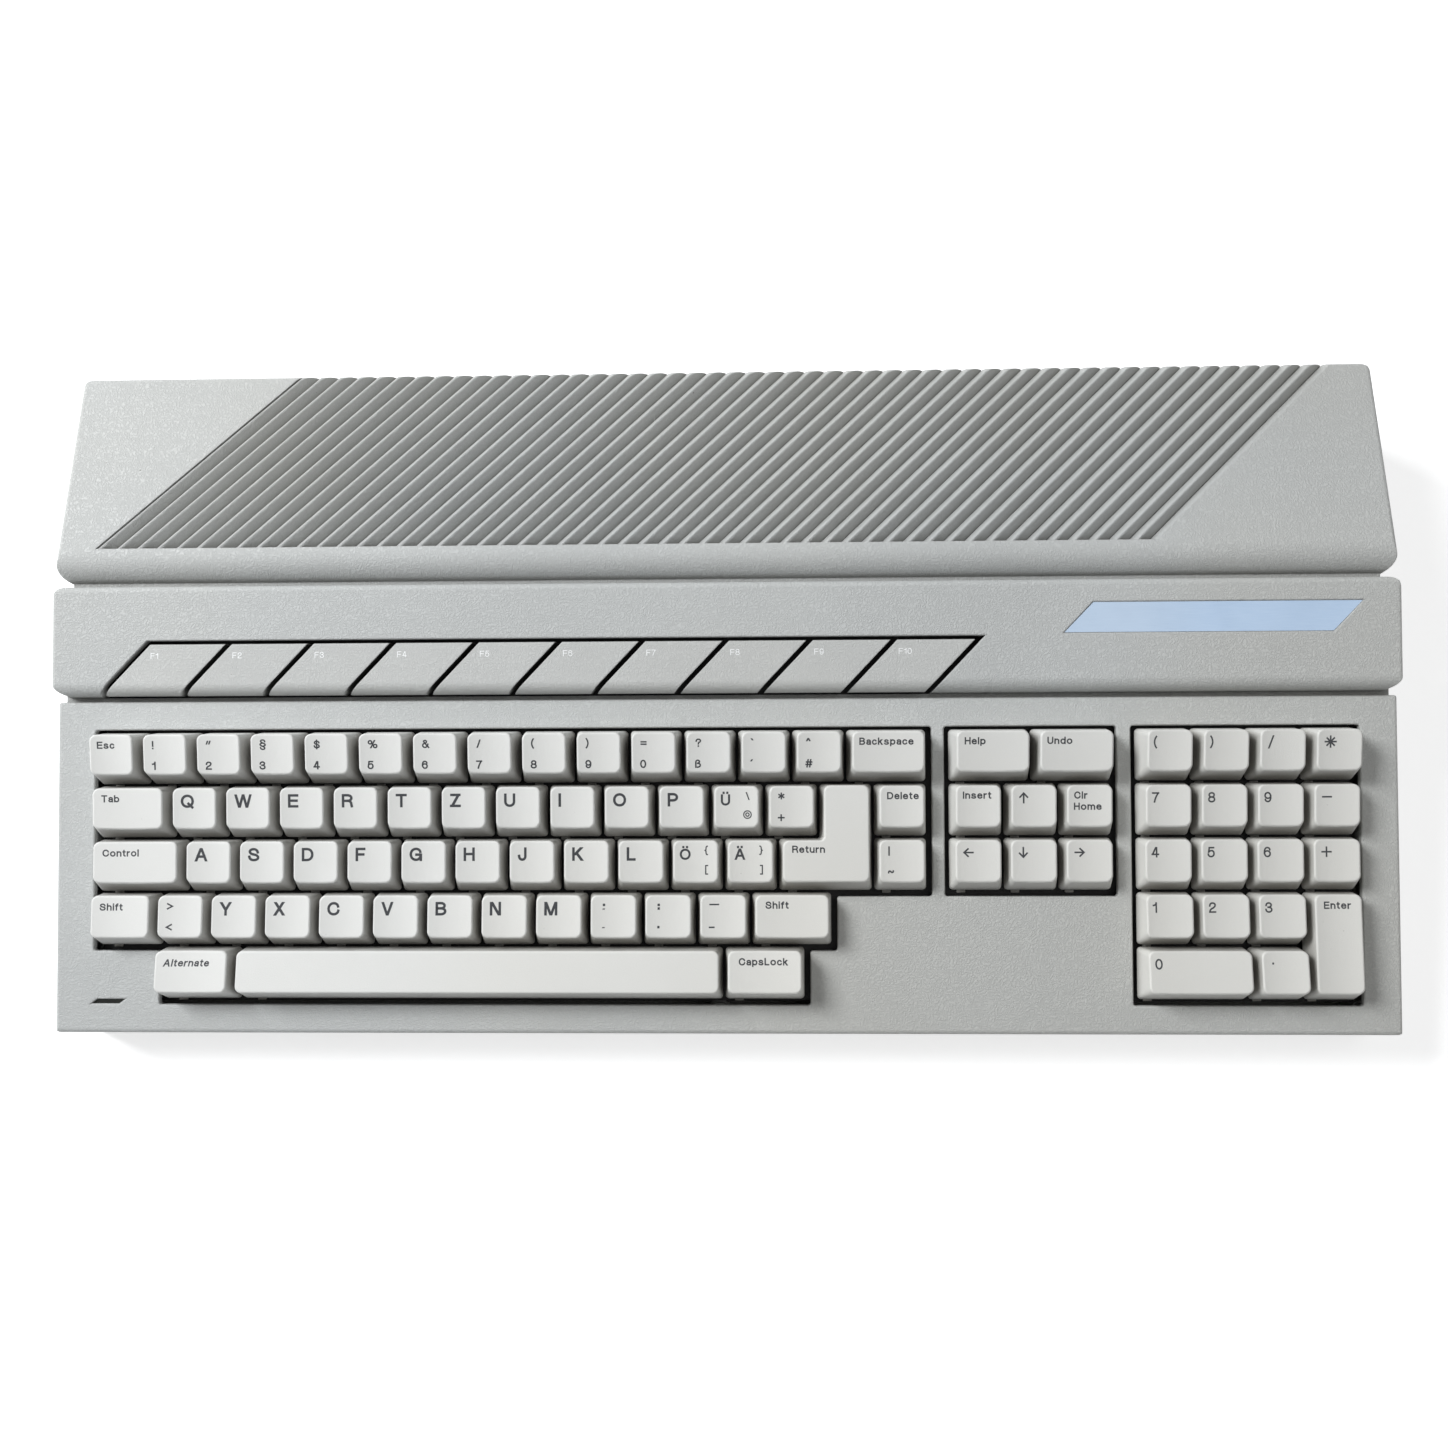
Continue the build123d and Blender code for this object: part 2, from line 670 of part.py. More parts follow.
def keyboard_base_plate():
    top = sheet_top - sheet_thickness - board_thickness
    body = unit_slab(top - plate_thickness, top, 0, unit_back - 3)
    for x, b in unit_screw_places:
        body -= post(x, b, top - 3, top + 1, 1.6)
    return deck * body


def keyboard_screws():
    screw = pan_screw(1.26, 8.6, 2.6, 1.6)
    places = [Pos(x, b, unit_bottom()) * Rot(180, 0, 0) for x, b in unit_screw_places]
    return Compound([deck * (place * screw) for place in places])


def keyboard_cable():
    y, z = section(32.7, unit_bottom() - 1.2)
    top = block(-212, -198, 31.4, 34, unit_bottom() - 2, unit_bottom() + plate_thickness)
    body = deck * top
    body += block(-211, -199, y - 0.4, y + 0.4, inner_top + 3, z)
    body += block(-212, -198, y - 2.5, y + 2.5, inner_top, inner_top + 4.5)
    return body


# Logic board and what it carries.
def main_circuit_board():
    body = block(-board_half_width, board_half_width, board_front, board_back, board_under, inner_top)
    for x, y in board_screw_places:
        body -= post(x, y, board_under - 1, inner_top + 1, 1.7)
    for x, y in ((-219, 10), (219, 10)):
        body -= post(x, y, 0, 40, 4)
    return body


def board_screws():
    screw = pan_screw(1.28, 4.4, 2.8, 1.8)
    return Compound([Pos(x, y, inner_top) * screw for x, y in board_screw_places])


def lower_shield():
    body = block(-200, 200, -52, 86, floor_top + 1, floor_top + 1.5)
    for x, y in board_screw_places:
        body -= post(x, y, 0, 20, 4.2)
    return body


def upper_shield():
    body = block(-194, 194, -43, 82, inner_top, 18.5) - block(-193.5, 193.5, -42.5, 81.5, 0, 18)
    for i in range(12):
        body -= Pos(-165 + 30 * i, 20, 18) * extrude(SlotOverall(50, 4, rotation=90), 2, both=True)
    return body


def chip(pins, length, width, spacing):
    # package lying along X with two rows of legs
    body = Pos(0, 0, 2.4) * Box(length, width, 3.8)
    body -= Pos(-length / 2, 0, 4.3) * Cylinder(1.2, 1.0)
    inner, outer = width / 2, spacing / 2 + 0.2
    legs = Sketch()
    for i in range(pins // 2):
        x = (i - (pins / 2 - 1) / 2) * 2.54
        legs += [Pos(x, side * (inner + outer) / 2) * Rectangle(0.6, outer - inner) for side in (-1, 1)]
    return body + extrude(legs, 2.6)


def chips(kinds):
    shapes = []
    for size, places in kinds:
        one = chip(*size)
        shapes += [Pos(x, y, inner_top) * Rot(0, 0, turn) * one for x, y, turn in places]
    return Compound(shapes)


dip16 = (16, 19.8, 6.4, 7.62)
dip24 = (24, 31.5, 13.6, 15.24)
dip28 = (28, 36.5, 13.6, 15.24)
dip40 = (40, 52.0, 13.6, 15.24)
dip48 = (48, 61.5, 13.6, 15.24)
dip64 = (64, 81.5, 17.5, 22.86)


def capacitors():
    shapes = []
    for x, y, radius, height in ((-160, 95, 4, 11), (-140, 95, 4, 11), (-108, 94, 5, 12), (-82, 94, 3.2, 8),
                                 (-52, 94, 3.2, 8), (30, 93, 3.2, 8), (180, 92, 4, 10), (200, 60, 3.2, 8)):
        can = post(x, y, inner_top, inner_top + height, radius)
        shapes.append(fillet(can.edges().sort_by(Axis.Z)[-1], 0.5))
    return Compound(shapes)


# Sockets.
rear_inner = half_depth - wall
face_depth = half_depth - 0.3


def pin_cuts(outline_places, y0, y1, x):
    pin = Sketch() + [Pos(*p) * RegularPolygon(0.85, 8) for p in outline_places]
    return rear_prism(pin, x, y0, y1)


def din_socket(x, angles, inner=()):
    body = block(x - 9, x + 9, 101, rear_inner, inner_top, socket_z + 8.5)
    body += rear_prism(Circle(7.6), x, rear_inner - 0.5, face_depth)
    body -= rear_prism(Circle(6.9) - Circle(6.1), x, face_depth - 6, face_depth + 1)
    ring = [(4.4 * math.cos(math.radians(a)), -4.4 * math.sin(math.radians(a))) for a in angles]
    return body - pin_cuts(ring + list(inner), face_depth - 6, face_depth + 1, x)


def d_contacts(count, step=2.77):
    top = (count + 1) // 2
    places = [((i - (top - 1) / 2) * step, 1.42) for i in range(top)]
    return places + [((i - (top - 2) / 2) * step, -1.42) for i in range(count - top)]


def d_socket(x, kind, count, male):
    width, height = d_shells[kind]
    body = rear_prism(Rectangle(width + 14, 12.5), x, rear_inner - 1, rear_inner)
    body += block(x - width / 2 - 1, x + width / 2 + 1, 102, rear_inner - 0.5, inner_top, socket_z + 5.5)
    body += rear_prism(d_outline(width, height), x, rear_inner - 0.5, face_depth)
    if not male:
        return body - pin_cuts(d_contacts(count), face_depth - 6, face_depth + 1, x)
    body -= rear_prism(d_outline(width, height, -0.6), x, face_depth - 5.6, face_depth + 1)
    return body + pin_cuts(d_contacts(count), face_depth - 6, face_depth - 0.8, x)


def joystick_sockets():
    shapes = []
    inner = half_width - wall - rear_inset
    face = half_width - rear_inset - 0.3
    width, height = d_shells["small"]
    for y in joystick_y:
        body = block(inner - 1, inner, y - 15.2, y + 15.2, socket_z - 6.2, socket_z + 6.2)
        body += block(207, inner - 0.5, y - 9.5, y + 9.5, inner_top, socket_z + 5.5)
        body += side_prism(d_outline(width, height), y, inner - 0.5, face)
        body -= side_prism(d_outline(width, height, -0.6), y, face - 5.6, face + 1)
        pins = Sketch() + [Pos(*p) * RegularPolygon(0.5, 8) for p in d_contacts(9)]
        body += side_prism(pins, y, face - 6, face - 0.8)
        shapes.append(body)
    return Compound(shapes)


def cartridge_socket():
    y0, y1 = cartridge_y
    body = block(-229, -208, y0 + 1, y1 - 1, inner_top, 23.4)
    return body - block(-230, -219, y0 + 3.5, y1 - 3.5, 15.8, 18.4)


switch_open = (8.5, 5.2)
rocker_pivot_y = 113.0
rocker_turn = 7.0


def power_switch_body():
    x = switch_x
    body = block(x - 9.4, x + 9.4, 101, face_depth, socket_z - 6.3, socket_z + 6.3)
    body += block(x - 11.5, x + 11.5, rear_inner - 1.2, rear_inner, socket_z - 6.3, socket_z + 7.6)
    body -= block(x - switch_open[0], x + switch_open[0], 109.8, 130, socket_z - switch_open[1],
                  socket_z + switch_open[1])
    body -= Pos(x, rocker_pivot_y, socket_z) * Cylinder(1.08, 12.2)
    return body


def power_switch_rocker():
    points = [(-7.6, -1.5), (7.6, -1.5), (7.6, 4.3), (0, 3.5), (-7.6, 4.3)]
    body = Pos(0, 0, -4.9) * extrude(Polygon(*points, align=None), 9.8)
    body += Cylinder(1.0, 11.9)
    return Pos(switch_x, rocker_pivot_y, socket_z) * Rot(0, 0, -rocker_turn) * body


def reset_button():
    x, z = reset_x, socket_z
    body = block(x - 3.3, x + 3.3, 108, face_depth - 0.3, z - 3.3, z + 3.3)
    body += block(x - 4.4, x + 4.4, rear_inner - 1.2, rear_inner - 0.05, z - 4.4, z + 4.4)
    return body + block(x - 1.5, x + 1.5, 102, 109, z - 1.5, z + 1.5)


def reset_switch():
    x, z = reset_x, socket_z
    body = block(x - 5, x + 5, 97, 106, inner_top, z + 4)
    return body - block(x - 1.56, x + 1.56, 99.8, 107, z - 1.56, z + 1.56)


def main():
    save("upper_case", upper_case())
    save("lower_case", lower_case())
    save("rubber_feet", feet())
    save("case_screws", case_screws())
    save("name_plate", name_plate())
    save("power_light", power_light())
    made = {}
    for name, cells in key_cells.items():
        save(name, key_group(cells, made))
    save("return_key", return_key())
    one = function_key()
    for i in range(function_count):
        save(f"function_key_{i + 1}", deck * (Pos(function_x(i), 0, 0) * one))
    save("key_guide_frame", key_guide_frame())
    save("rubber_dome_sheet", rubber_dome_sheet())
    save("keyboard_circuit_board", keyboard_circuit_board())
    save("keyboard_base_plate", keyboard_base_plate())
    save("keyboard_screws", keyboard_screws())
    save("keyboard_cable", keyboard_cable())
    save("main_circuit_board", main_circuit_board())
    save("board_screws", board_screws())
    save("lower_shield", lower_shield())
    save("upper_shield", upper_shield())
    save("processor", chips([(dip64, [(-60, 20, 0)])]))
    memory = [(50 + 14 * i, y, 90) for i in range(8) for y in (-24, 4)]
    save("memory_chips", chips([(dip16, memory), (dip28, [(100, 40, 0), (145, 40, 0)])]))
    save("support_chips", chips([
        (dip40, [(-150, -20, 0), (-85, -20, 0), (-20, -20, 0), (-150, 20, 0)]),
        (dip48, [(-60, 58, 0)]),
        (dip28, [(-150, 56, 0)]),
        (dip24, [(10, 56, 0), (50, 56, 0)]),
    ]))
    save("capacitors", capacitors())
    save("power_socket", din_socket(power_x, (0, 30, 60, 90, 120, 150, 180)))
    save("midi_sockets", Compound([din_socket(x, (0, 45, 90, 135, 180)) for x in midi_x]))
    grid = [(i * 2.4, j * 2.4) for i in (-0.5, 0.5) for j in (-0.5, 0.5)]
    save("monitor_socket", din_socket(monitor_x, range(0, 271, 30), grid[:3]))
    save("floppy_socket", din_socket(floppy_x, range(0, 271, 30), grid))
    save("hard_disk_socket", d_socket(disk_x, "disk", 19, False))
    save("printer_socket", d_socket(printer_x, "wide", 25, False))
    save("modem_socket", d_socket(modem_x, "wide", 25, True))
    save("joystick_sockets", joystick_sockets())
    save("cartridge_socket", cartridge_socket())
    save("power_switch_body", power_switch_body())
    save("power_switch_rocker", power_switch_rocker())
    save("reset_button", reset_button())
    save("reset_switch", reset_switch())


main()
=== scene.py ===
import bpy
import json
import math
from mathutils import Matrix, Vector
from mathutils.bvhtree import BVHTree


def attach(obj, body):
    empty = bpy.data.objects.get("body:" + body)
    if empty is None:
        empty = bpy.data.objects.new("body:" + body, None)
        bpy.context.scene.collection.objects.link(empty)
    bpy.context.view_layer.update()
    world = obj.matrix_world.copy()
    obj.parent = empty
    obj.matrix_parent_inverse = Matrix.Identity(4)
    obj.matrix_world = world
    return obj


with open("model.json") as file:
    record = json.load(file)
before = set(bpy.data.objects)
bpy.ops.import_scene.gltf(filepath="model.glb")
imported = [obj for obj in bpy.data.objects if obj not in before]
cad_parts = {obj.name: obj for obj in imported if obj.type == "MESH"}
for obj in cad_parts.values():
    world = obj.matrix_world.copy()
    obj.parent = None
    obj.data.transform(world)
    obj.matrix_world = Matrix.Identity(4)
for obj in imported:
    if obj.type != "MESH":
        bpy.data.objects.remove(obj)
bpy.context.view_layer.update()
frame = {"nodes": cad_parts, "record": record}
cadNodes = frame["nodes"]
print("frame loaded:", len(cadNodes), "nodes")

# everything below is in metres; the key deck's own lengths are in millimetres
mm = 0.001


# camera, floor and light
camera = {
    "place": (0.01730, -0.09412, 0.51106),
    "right": (0.99949, 0.00065, -0.03203),
    "up": (0.00495, 0.98465, 0.17448),
    "back": (0.03165, -0.17454, 0.98415),
    "lens": 33.43, "sensor": 36, "near": 0.01,
}


def makeCamera(s):
    data = bpy.data.cameras.new("deskCamera")
    data.lens, data.sensor_width, data.clip_start = s["lens"], s["sensor"], s["near"]
    thing = bpy.data.objects.new("deskCamera", data)
    bpy.context.scene.collection.objects.link(thing)
    turn = Matrix((s["right"], s["up"], s["back"])).transposed().to_4x4()
    thing.matrix_world = Matrix.Translation(s["place"]) @ turn
    bpy.context.scene.camera = thing


floorPaper = {"size": 8, "tone": (0.86, 0.86, 0.86, 1), "roughness": 0.9, "glow": 0.62}
lights = {
    "window": {"place": (-1.0, 0.5, 1.1), "aim": (0.0, 0.0, 0.0), "size": 0.6, "power": 25.5,
               "colour": (0.97, 0.985, 1.0)},
    "fill": {"place": (0.5, 0.0, 0.9), "aim": (0.2, 0.0, 0.0), "size": 0.6, "power": 1.2,
             "colour": (1.0, 0.99, 0.97)},
    "sky": 0.195, "skyColour": (0.96, 0.98, 1.0, 1),
}


def makeLamp(name, s):
    data = bpy.data.lights.new(name, "AREA")
    data.shape, data.size, data.energy, data.color = "SQUARE", s["size"], s["power"], s["colour"]
    lamp = bpy.data.objects.new(name, data)
    bpy.context.scene.collection.objects.link(lamp)
    lamp.location = s["place"]
    lamp.rotation_euler = (Vector(s["aim"]) - Vector(s["place"])).to_track_quat("-Z", "Y").to_euler()


def seenDirectly(nodes, links):
    # 1 for rays that show a background: camera, mirror and glass rays
    path = nodes.new("ShaderNodeLightPath")
    both = nodes.new("ShaderNodeMath"); both.operation = "MAXIMUM"
    every = nodes.new("ShaderNodeMath"); every.operation = "MAXIMUM"
    links.new(path.outputs["Is Camera Ray"], both.inputs[0])
    links.new(path.outputs["Is Glossy Ray"], both.inputs[1])
    links.new(both.outputs[0], every.inputs[0])
    links.new(path.outputs["Is Transmission Ray"], every.inputs[1])
    return every.outputs[0]


def makeWorld(s):
    world = bpy.data.worlds.new("studio")
    bpy.context.scene.world = world
    world.use_nodes = True
    nodes, links = world.node_tree.nodes, world.node_tree.links
    nodes.clear()
    soft, white = nodes.new("ShaderNodeBackground"), nodes.new("ShaderNodeBackground")
    soft.inputs["Color"].default_value = s["skyColour"]
    soft.inputs["Strength"].default_value = s["sky"]
    white.inputs["Strength"].default_value = 1.0
    mix, out = nodes.new("ShaderNodeMixShader"), nodes.new("ShaderNodeOutputWorld")
    links.new(seenDirectly(nodes, links), mix.inputs[0])
    links.new(soft.outputs[0], mix.inputs[1])
    links.new(white.outputs[0], mix.inputs[2])
    links.new(mix.outputs[0], out.inputs["Surface"])


def makeFloor(s):
    bpy.ops.mesh.primitive_plane_add(size=s["size"], location=(0, 0, 0))
    floor = bpy.context.object
    floor.name = "floor"
    paper = bpy.data.materials.new("paper")
    paper.use_nodes = True
    nodes, links = paper.node_tree.nodes, paper.node_tree.links
    shader = nodes["Principled BSDF"]
    shader.inputs["Base Color"].default_value = s["tone"]
    shader.inputs["Roughness"].default_value = s["roughness"]
    shader.inputs["Specular IOR Level"].default_value = 0.0
    shader.inputs["Emission Color"].default_value = (1, 1, 1, 1)
    gain = nodes.new("ShaderNodeMath"); gain.operation = "MULTIPLY"
    gain.inputs[1].default_value = s["glow"]
    links.new(seenDirectly(nodes, links), gain.inputs[0])
    links.new(gain.outputs[0], shader.inputs["Emission Strength"])
    floor.data.materials.append(paper)


scene = bpy.context.scene
scene.view_settings.view_transform = "Standard"
makeCamera(camera)
makeLamp("window", lights["window"])
makeLamp("fill", lights["fill"])
makeWorld(lights)
makeFloor(floorPaper)
print("camera, light and floor made")


# finishes
def colour(r, g, b):
    # screen colour 0 to 255 to the shader's linear colour
    def linear(v):
        v /= 255
        return v / 12.92 if v <= 0.04045 else ((v + 0.055) / 1.055) ** 2.4
    return (linear(r), linear(g), linear(b), 1)


class Finish:
    # short names for the nodes of one material
    def __init__(self, name):
        self.material = bpy.data.materials.new(name)
        self.material.use_nodes = True
        self.nodes, self.links = self.material.node_tree.nodes, self.material.node_tree.links
        self.shader = self.nodes["Principled BSDF"]
        self.place = self.nodes.new("ShaderNodeTexCoord").outputs["Object"]

    def put(self, source, socket):
        if hasattr(source, "links"):
            self.links.new(source, socket)
        else:
            socket.default_value = source

    def noise(self, scale, detail=2.0, roughness=0.5, stretch=None):
        node = self.nodes.new("ShaderNodeTexNoise")
        place = self.place
        if stretch:
            mapping = self.nodes.new("ShaderNodeMapping")
            mapping.inputs["Rotation"].default_value = (0, 0, math.radians(stretch[1]))
            mapping.inputs["Scale"].default_value = stretch[0]
            self.links.new(place, mapping.inputs["Vector"])
            place = mapping.outputs["Vector"]
        self.links.new(place, node.inputs["Vector"])
        node.inputs["Scale"].default_value = scale
        node.inputs["Detail"].default_value = detail
        node.inputs["Roughness"].default_value = roughness
        return node.outputs["Fac"]

    def span(self, value, low, high, to=(0.0, 1.0)):
        node = self.nodes.new("ShaderNodeMapRange")
        self.put(value, node.inputs["Value"])
        for socket, number in zip(("From Min", "From Max", "To Min", "To Max"), (low, high, *to)):
            node.inputs[socket].default_value = number
        return node.outputs["Result"]

    def maths(self, kind, a, b):
        node = self.nodes.new("ShaderNodeMath")
        node.operation = kind
        self.put(a, node.inputs[0])
        self.put(b, node.inputs[1])
        return node.outputs[0]

    def mix(self, factor, a, b):
        node = self.nodes.new("ShaderNodeMix")
        node.data_type = "RGBA"
        self.put(factor, node.inputs[0])
        self.put(a, node.inputs[6])
        self.put(b, node.inputs[7])
        return node.outputs[2]

    def worn(self, radius, full=0.3, start=0.02):
        # 0 on flat faces, 1 on sharp edges: how far the normal turns away over the radius
        soft = self.nodes.new("ShaderNodeBevel")
        soft.samples = 4
        soft.inputs["Radius"].default_value = radius
        self.softNormal = soft.outputs[0]
        flat = self.nodes.new("ShaderNodeNewGeometry")
        dot = self.nodes.new("ShaderNodeVectorMath")
        dot.operation = "DOT_PRODUCT"
        self.links.new(soft.outputs[0], dot.inputs[0])
        self.links.new(flat.outputs["True Normal"], dot.inputs[1])
        return self.span(dot.outputs["Value"], 1 - start, 1 - full)

    def hollow(self, reach, low, high):
        # 1 deep in gaps and corners, where less than low of the surroundings is open, 0 in the open:
        # the mask for painted shade
        node = self.nodes.new("ShaderNodeAmbientOcclusion")
        node.samples = 6
        node.inputs["Distance"].default_value = reach
        return self.span(node.outputs["AO"], high, low)

    def bump(self, height, distance, strength=1.0, base=None):
        node = self.nodes.new("ShaderNodeBump")
        node.inputs["Strength"].default_value = strength
        node.inputs["Distance"].default_value = distance
        self.put(height, node.inputs["Height"])
        if base is not None:
            self.links.new(base, node.inputs["Normal"])
        return node.outputs["Normal"]

    def finish(self, tone, roughness, normal=None, metal=0.0, gloss=0.5):
        self.put(tone, self.shader.inputs["Base Color"])
        self.put(roughness, self.shader.inputs["Roughness"])
        self.shader.inputs["Metallic"].default_value = metal
        self.shader.inputs["Specular IOR Level"].default_value = gloss
        if normal is not None:
            self.links.new(normal, self.shader.inputs["Normal"])
        return self.material


def scaled(tone, factor):
    return (*[min(1.0, c * factor) for c in tone[:3]], 1)


# what all plastics share: scales of their patterns, and where in the noise each pattern
# starts and ends
plasticDetail = {
    "cloudScale": 14, "clouds": (0.35, 0.65),
    "agedScale": 5, "agedRange": (0.42, 0.72), "agedShare": 0.55,
    "grainLine": 0.10, "grainShare": 3, "grainTone": 0.67, "fineScale": 2.3, "fineShare": 0.6,
    "speckScale": 620, "speckRange": (0.80, 0.83), "speckPatch": 30, "speckTone": colour(96, 88, 78),
    "rubScale": 130, "rubRange": (0.3, 0.62), "rubFull": 0.22, "rubGloss": 0.12, "patch": (0.5, 0.62),
    "scratchScale": 46, "scratchRange": (0.745, 0.77), "scratchPatch": 17, "scratchTone": 1.22,
    "scratchStretch": ((14, 0.55, 1), 12), "bump": 0.6, "gloss": 0.4,
    "glossScale": 38, "glossRange": (0.3, 0.7), "smoother": 0.06, "rougher": 0.07,
}


def mouldedPlastic(name, s):
    # pigmented plastic with a fine spark-eroded grain, slight yellowing, specks and rubbed edges, and,
    # where asked, painted shade darkening its gaps, valleys and corners
    f, d = Finish(name), plasticDetail
    clouds = f.span(f.noise(s.get("cloudScale", d["cloudScale"]), 3), *d["clouds"])
    dark, light = scaled(s["tone"], 1 - s["variation"]), scaled(s["tone"], 1 + s["variation"])
    tone = f.mix(clouds, dark, light)
    if s.get("aged"):
        aged = f.span(f.noise(d["agedScale"], 2), *d["agedRange"], (0, d["agedShare"]))
        tone = f.mix(aged, tone, s["aged"])
    fine = f.noise(s["grain"], 3, 0.6)
    # winding lines where the noise passes its middle value
    grain = f.span(f.maths("ABSOLUTE", f.maths("SUBTRACT", fine, 0.5), 0.0), 0.0, d["grainLine"])
    mottle = f.span(grain, 0.0, 1.0, (s["mottle"] * d["grainShare"], 0.0))
    tone = f.mix(mottle, tone, scaled(s["tone"], d["grainTone"]))
    # painted shade: the colour darkens in gaps, valleys and corners, where little around is open
    if s.get("grime"):
        paintedShadeMask = f.maths("MULTIPLY", f.hollow(*s["hollow"]), s["grime"])
        tone = f.mix(paintedShadeMask, tone, s["paintedShadeTone"])
    specks = f.span(f.noise(d["speckScale"], 1), *d["speckRange"])
    specks = f.maths("MULTIPLY", specks, f.span(f.noise(d["speckPatch"], 1), *d["patch"]))
    tone = f.mix(f.maths("MULTIPLY", specks, s["specks"]), tone, d["speckTone"])
    rub = f.span(f.noise(d["rubScale"], 3), *d["rubRange"])
    rub = f.maths("MULTIPLY", f.worn(s["edge"], d["rubFull"]), rub)
    tone = f.mix(f.maths("MULTIPLY", rub, s["wear"]), tone, s["rubbed"])
    height = f.maths("MULTIPLY", f.noise(s["grain"] * d["fineScale"], 2), d["fineShare"])
    height = f.maths("ADD", grain, height)
    if s.get("scratches"):
        line = f.span(f.noise(d["scratchScale"], 2, 0.45, d["scratchStretch"]), *d["scratchRange"])
        where = f.span(f.noise(d["scratchPatch"], 1), *d["patch"])
        mark = f.maths("MULTIPLY", f.maths("MULTIPLY", line, where), s["scratches"])
        tone = f.mix(mark, tone, scaled(s["tone"], d["scratchTone"]))
        height = f.maths("SUBTRACT", height, mark)
    spread = (s["rough"] - d["smoother"], s["rough"] + d["rougher"])
    rough = f.span(f.noise(d["glossScale"], 3), *d["glossRange"], spread)
    rough = f.maths("SUBTRACT", rough, f.maths("MULTIPLY", rub, d["rubGloss"]))
    normal = f.bump(height, s["depth"], d["bump"], f.softNormal)
    return f.finish(tone, rough, normal, gloss=d["gloss"])


metalDetail = {
    "lineScale": 180, "lineStretch": (30, 0.6, 1), "lineRange": (0.3, 0.7), "lineTones": (0.88, 1.08),
    "patchScale": 22, "patchRange": (0.4, 0.66), "patchShare": 0.35,
    "patchTone": 0.62, "patchRough": 0.18,
    "edge": 0.0003, "rubShare": 0.5, "rubTone": 1.2, "depth": 0.00003, "bump": 0.5,
}


def rolledMetal(name, s):
    # sheet or plated metal with faint rolling lines and dull patches
    f, d = Finish(name), metalDetail
    lines = f.noise(d["lineScale"], 2, 0.5, (d["lineStretch"], s.get("turn", 0)))
    patches = f.span(f.noise(d["patchScale"], 3), *d["patchRange"])
    dark, light = (scaled(s["tone"], factor) for factor in d["lineTones"])
    tone = f.mix(f.span(lines, *d["lineRange"]), dark, light)
    dull = f.maths("MULTIPLY", patches, d["patchShare"])
    tone = f.mix(dull, tone, scaled(s["tone"], d["patchTone"]))
    rub = f.maths("MULTIPLY", f.worn(d["edge"]), d["rubShare"])
    tone = f.mix(rub, tone, scaled(s["tone"], d["rubTone"]))
    rough = f.span(patches, 0, 1, (s["rough"], s["rough"] + d["patchRough"]))
    return f.finish(tone, rough, f.bump(lines, d["depth"], d["bump"]), metal=1.0)


rubberDetail = {
    "dustScale": 90, "dustRange": (0.45, 0.75), "dustTone": 1.7, "dustRough": (0.62, 0.85),
    "edge": 0.0006, "rubShare": 0.5, "rubTone": 2.2, "grain": 900, "depth": 0.00006, "bump": 0.6,
    "gloss": 0.3,
}


def rubberSkin(name, s):
    # matt rubber with pale dust and rubbed edges
    f, d = Finish(name), rubberDetail
    dust = f.span(f.noise(d["dustScale"], 4), *d["dustRange"])
    tone = f.mix(dust, s["tone"], scaled(s["tone"], d["dustTone"]))
    rub = f.maths("MULTIPLY", f.worn(d["edge"]), d["rubShare"])
    tone = f.mix(rub, tone, scaled(s["tone"], d["rubTone"]))
    normal = f.bump(f.noise(d["grain"], 2), d["depth"], d["bump"])
    return f.finish(tone, f.span(dust, 0, 1, d["dustRough"]), normal, gloss=d["gloss"])


def boardLaminate(name, s):
    # green solder resist with the weave and the etched tracks just showing through
    f = Finish(name)
    weave = f.nodes.new("ShaderNodeTexBrick")
    weave.inputs["Scale"].default_value = s["weaveScale"]
    f.links.new(f.place, weave.inputs["Vector"])
    tracks = f.span(f.noise(s["trackScale"], 0, 0.5, (s["trackStretch"], 0)), *s["trackRange"])
    tone = f.mix(tracks, s["tone"], s["track"])
    tone = f.mix(f.maths("MULTIPLY", weave.outputs["Fac"], s["weaveShare"]), tone, s["weave"])
    tone = f.mix(f.maths("MULTIPLY", f.worn(s["edge"]), s["rubShare"]), tone, s["rubbed"])
    rough = f.span(f.noise(60, 2), 0.3, 0.7, s["rough"])
    return f.finish(tone, rough, f.bump(tracks, s["depth"], 0.5))


def anodisedPlate(name, s):
    # thin metal label: satin pale blue lacquer, a little deeper towards the middle
    f = Finish(name)
    grainLines = f.noise(s["grain"], 2, 0.5, (s["grainStretch"], 0))
    bands = f.span(f.noise(s["bandScale"], 1, 0.5, (s["bandStretch"], 0)), 0.35, 0.65)
    tone = f.mix(bands, s["pale"], s["deep"])
    tone = f.mix(f.span(grainLines, 0.3, 0.7, (0, s["grainShare"])), tone, scaled(s["pale"], 1.15))
    rub = f.maths("MULTIPLY", f.worn(s["edge"]), f.span(f.noise(200, 2), 0.3, 0.6))
    tone = f.mix(f.maths("MULTIPLY", rub, s["rubShare"]), tone, s["rubbed"])
    rough = f.span(f.noise(70, 3), 0.3, 0.7, s["rough"])
    return f.finish(tone, rough, f.bump(grainLines, s["depth"], 0.4), metal=s["metal"])


def inkFilm(name, s):
    # printed legend: a thin film that is a little rubbed
    f = Finish(name)
    rubbed = f.span(f.noise(420, 3), 0.55, 0.8, (0, s["rubbed"]))
    tone = f.mix(rubbed, s["tone"], s["under"])
    rough = f.span(f.noise(160, 2), 0.3, 0.7, s["rough"])
    return f.finish(tone, rough, f.bump(f.noise(1500, 2), s["depth"], 0.4))


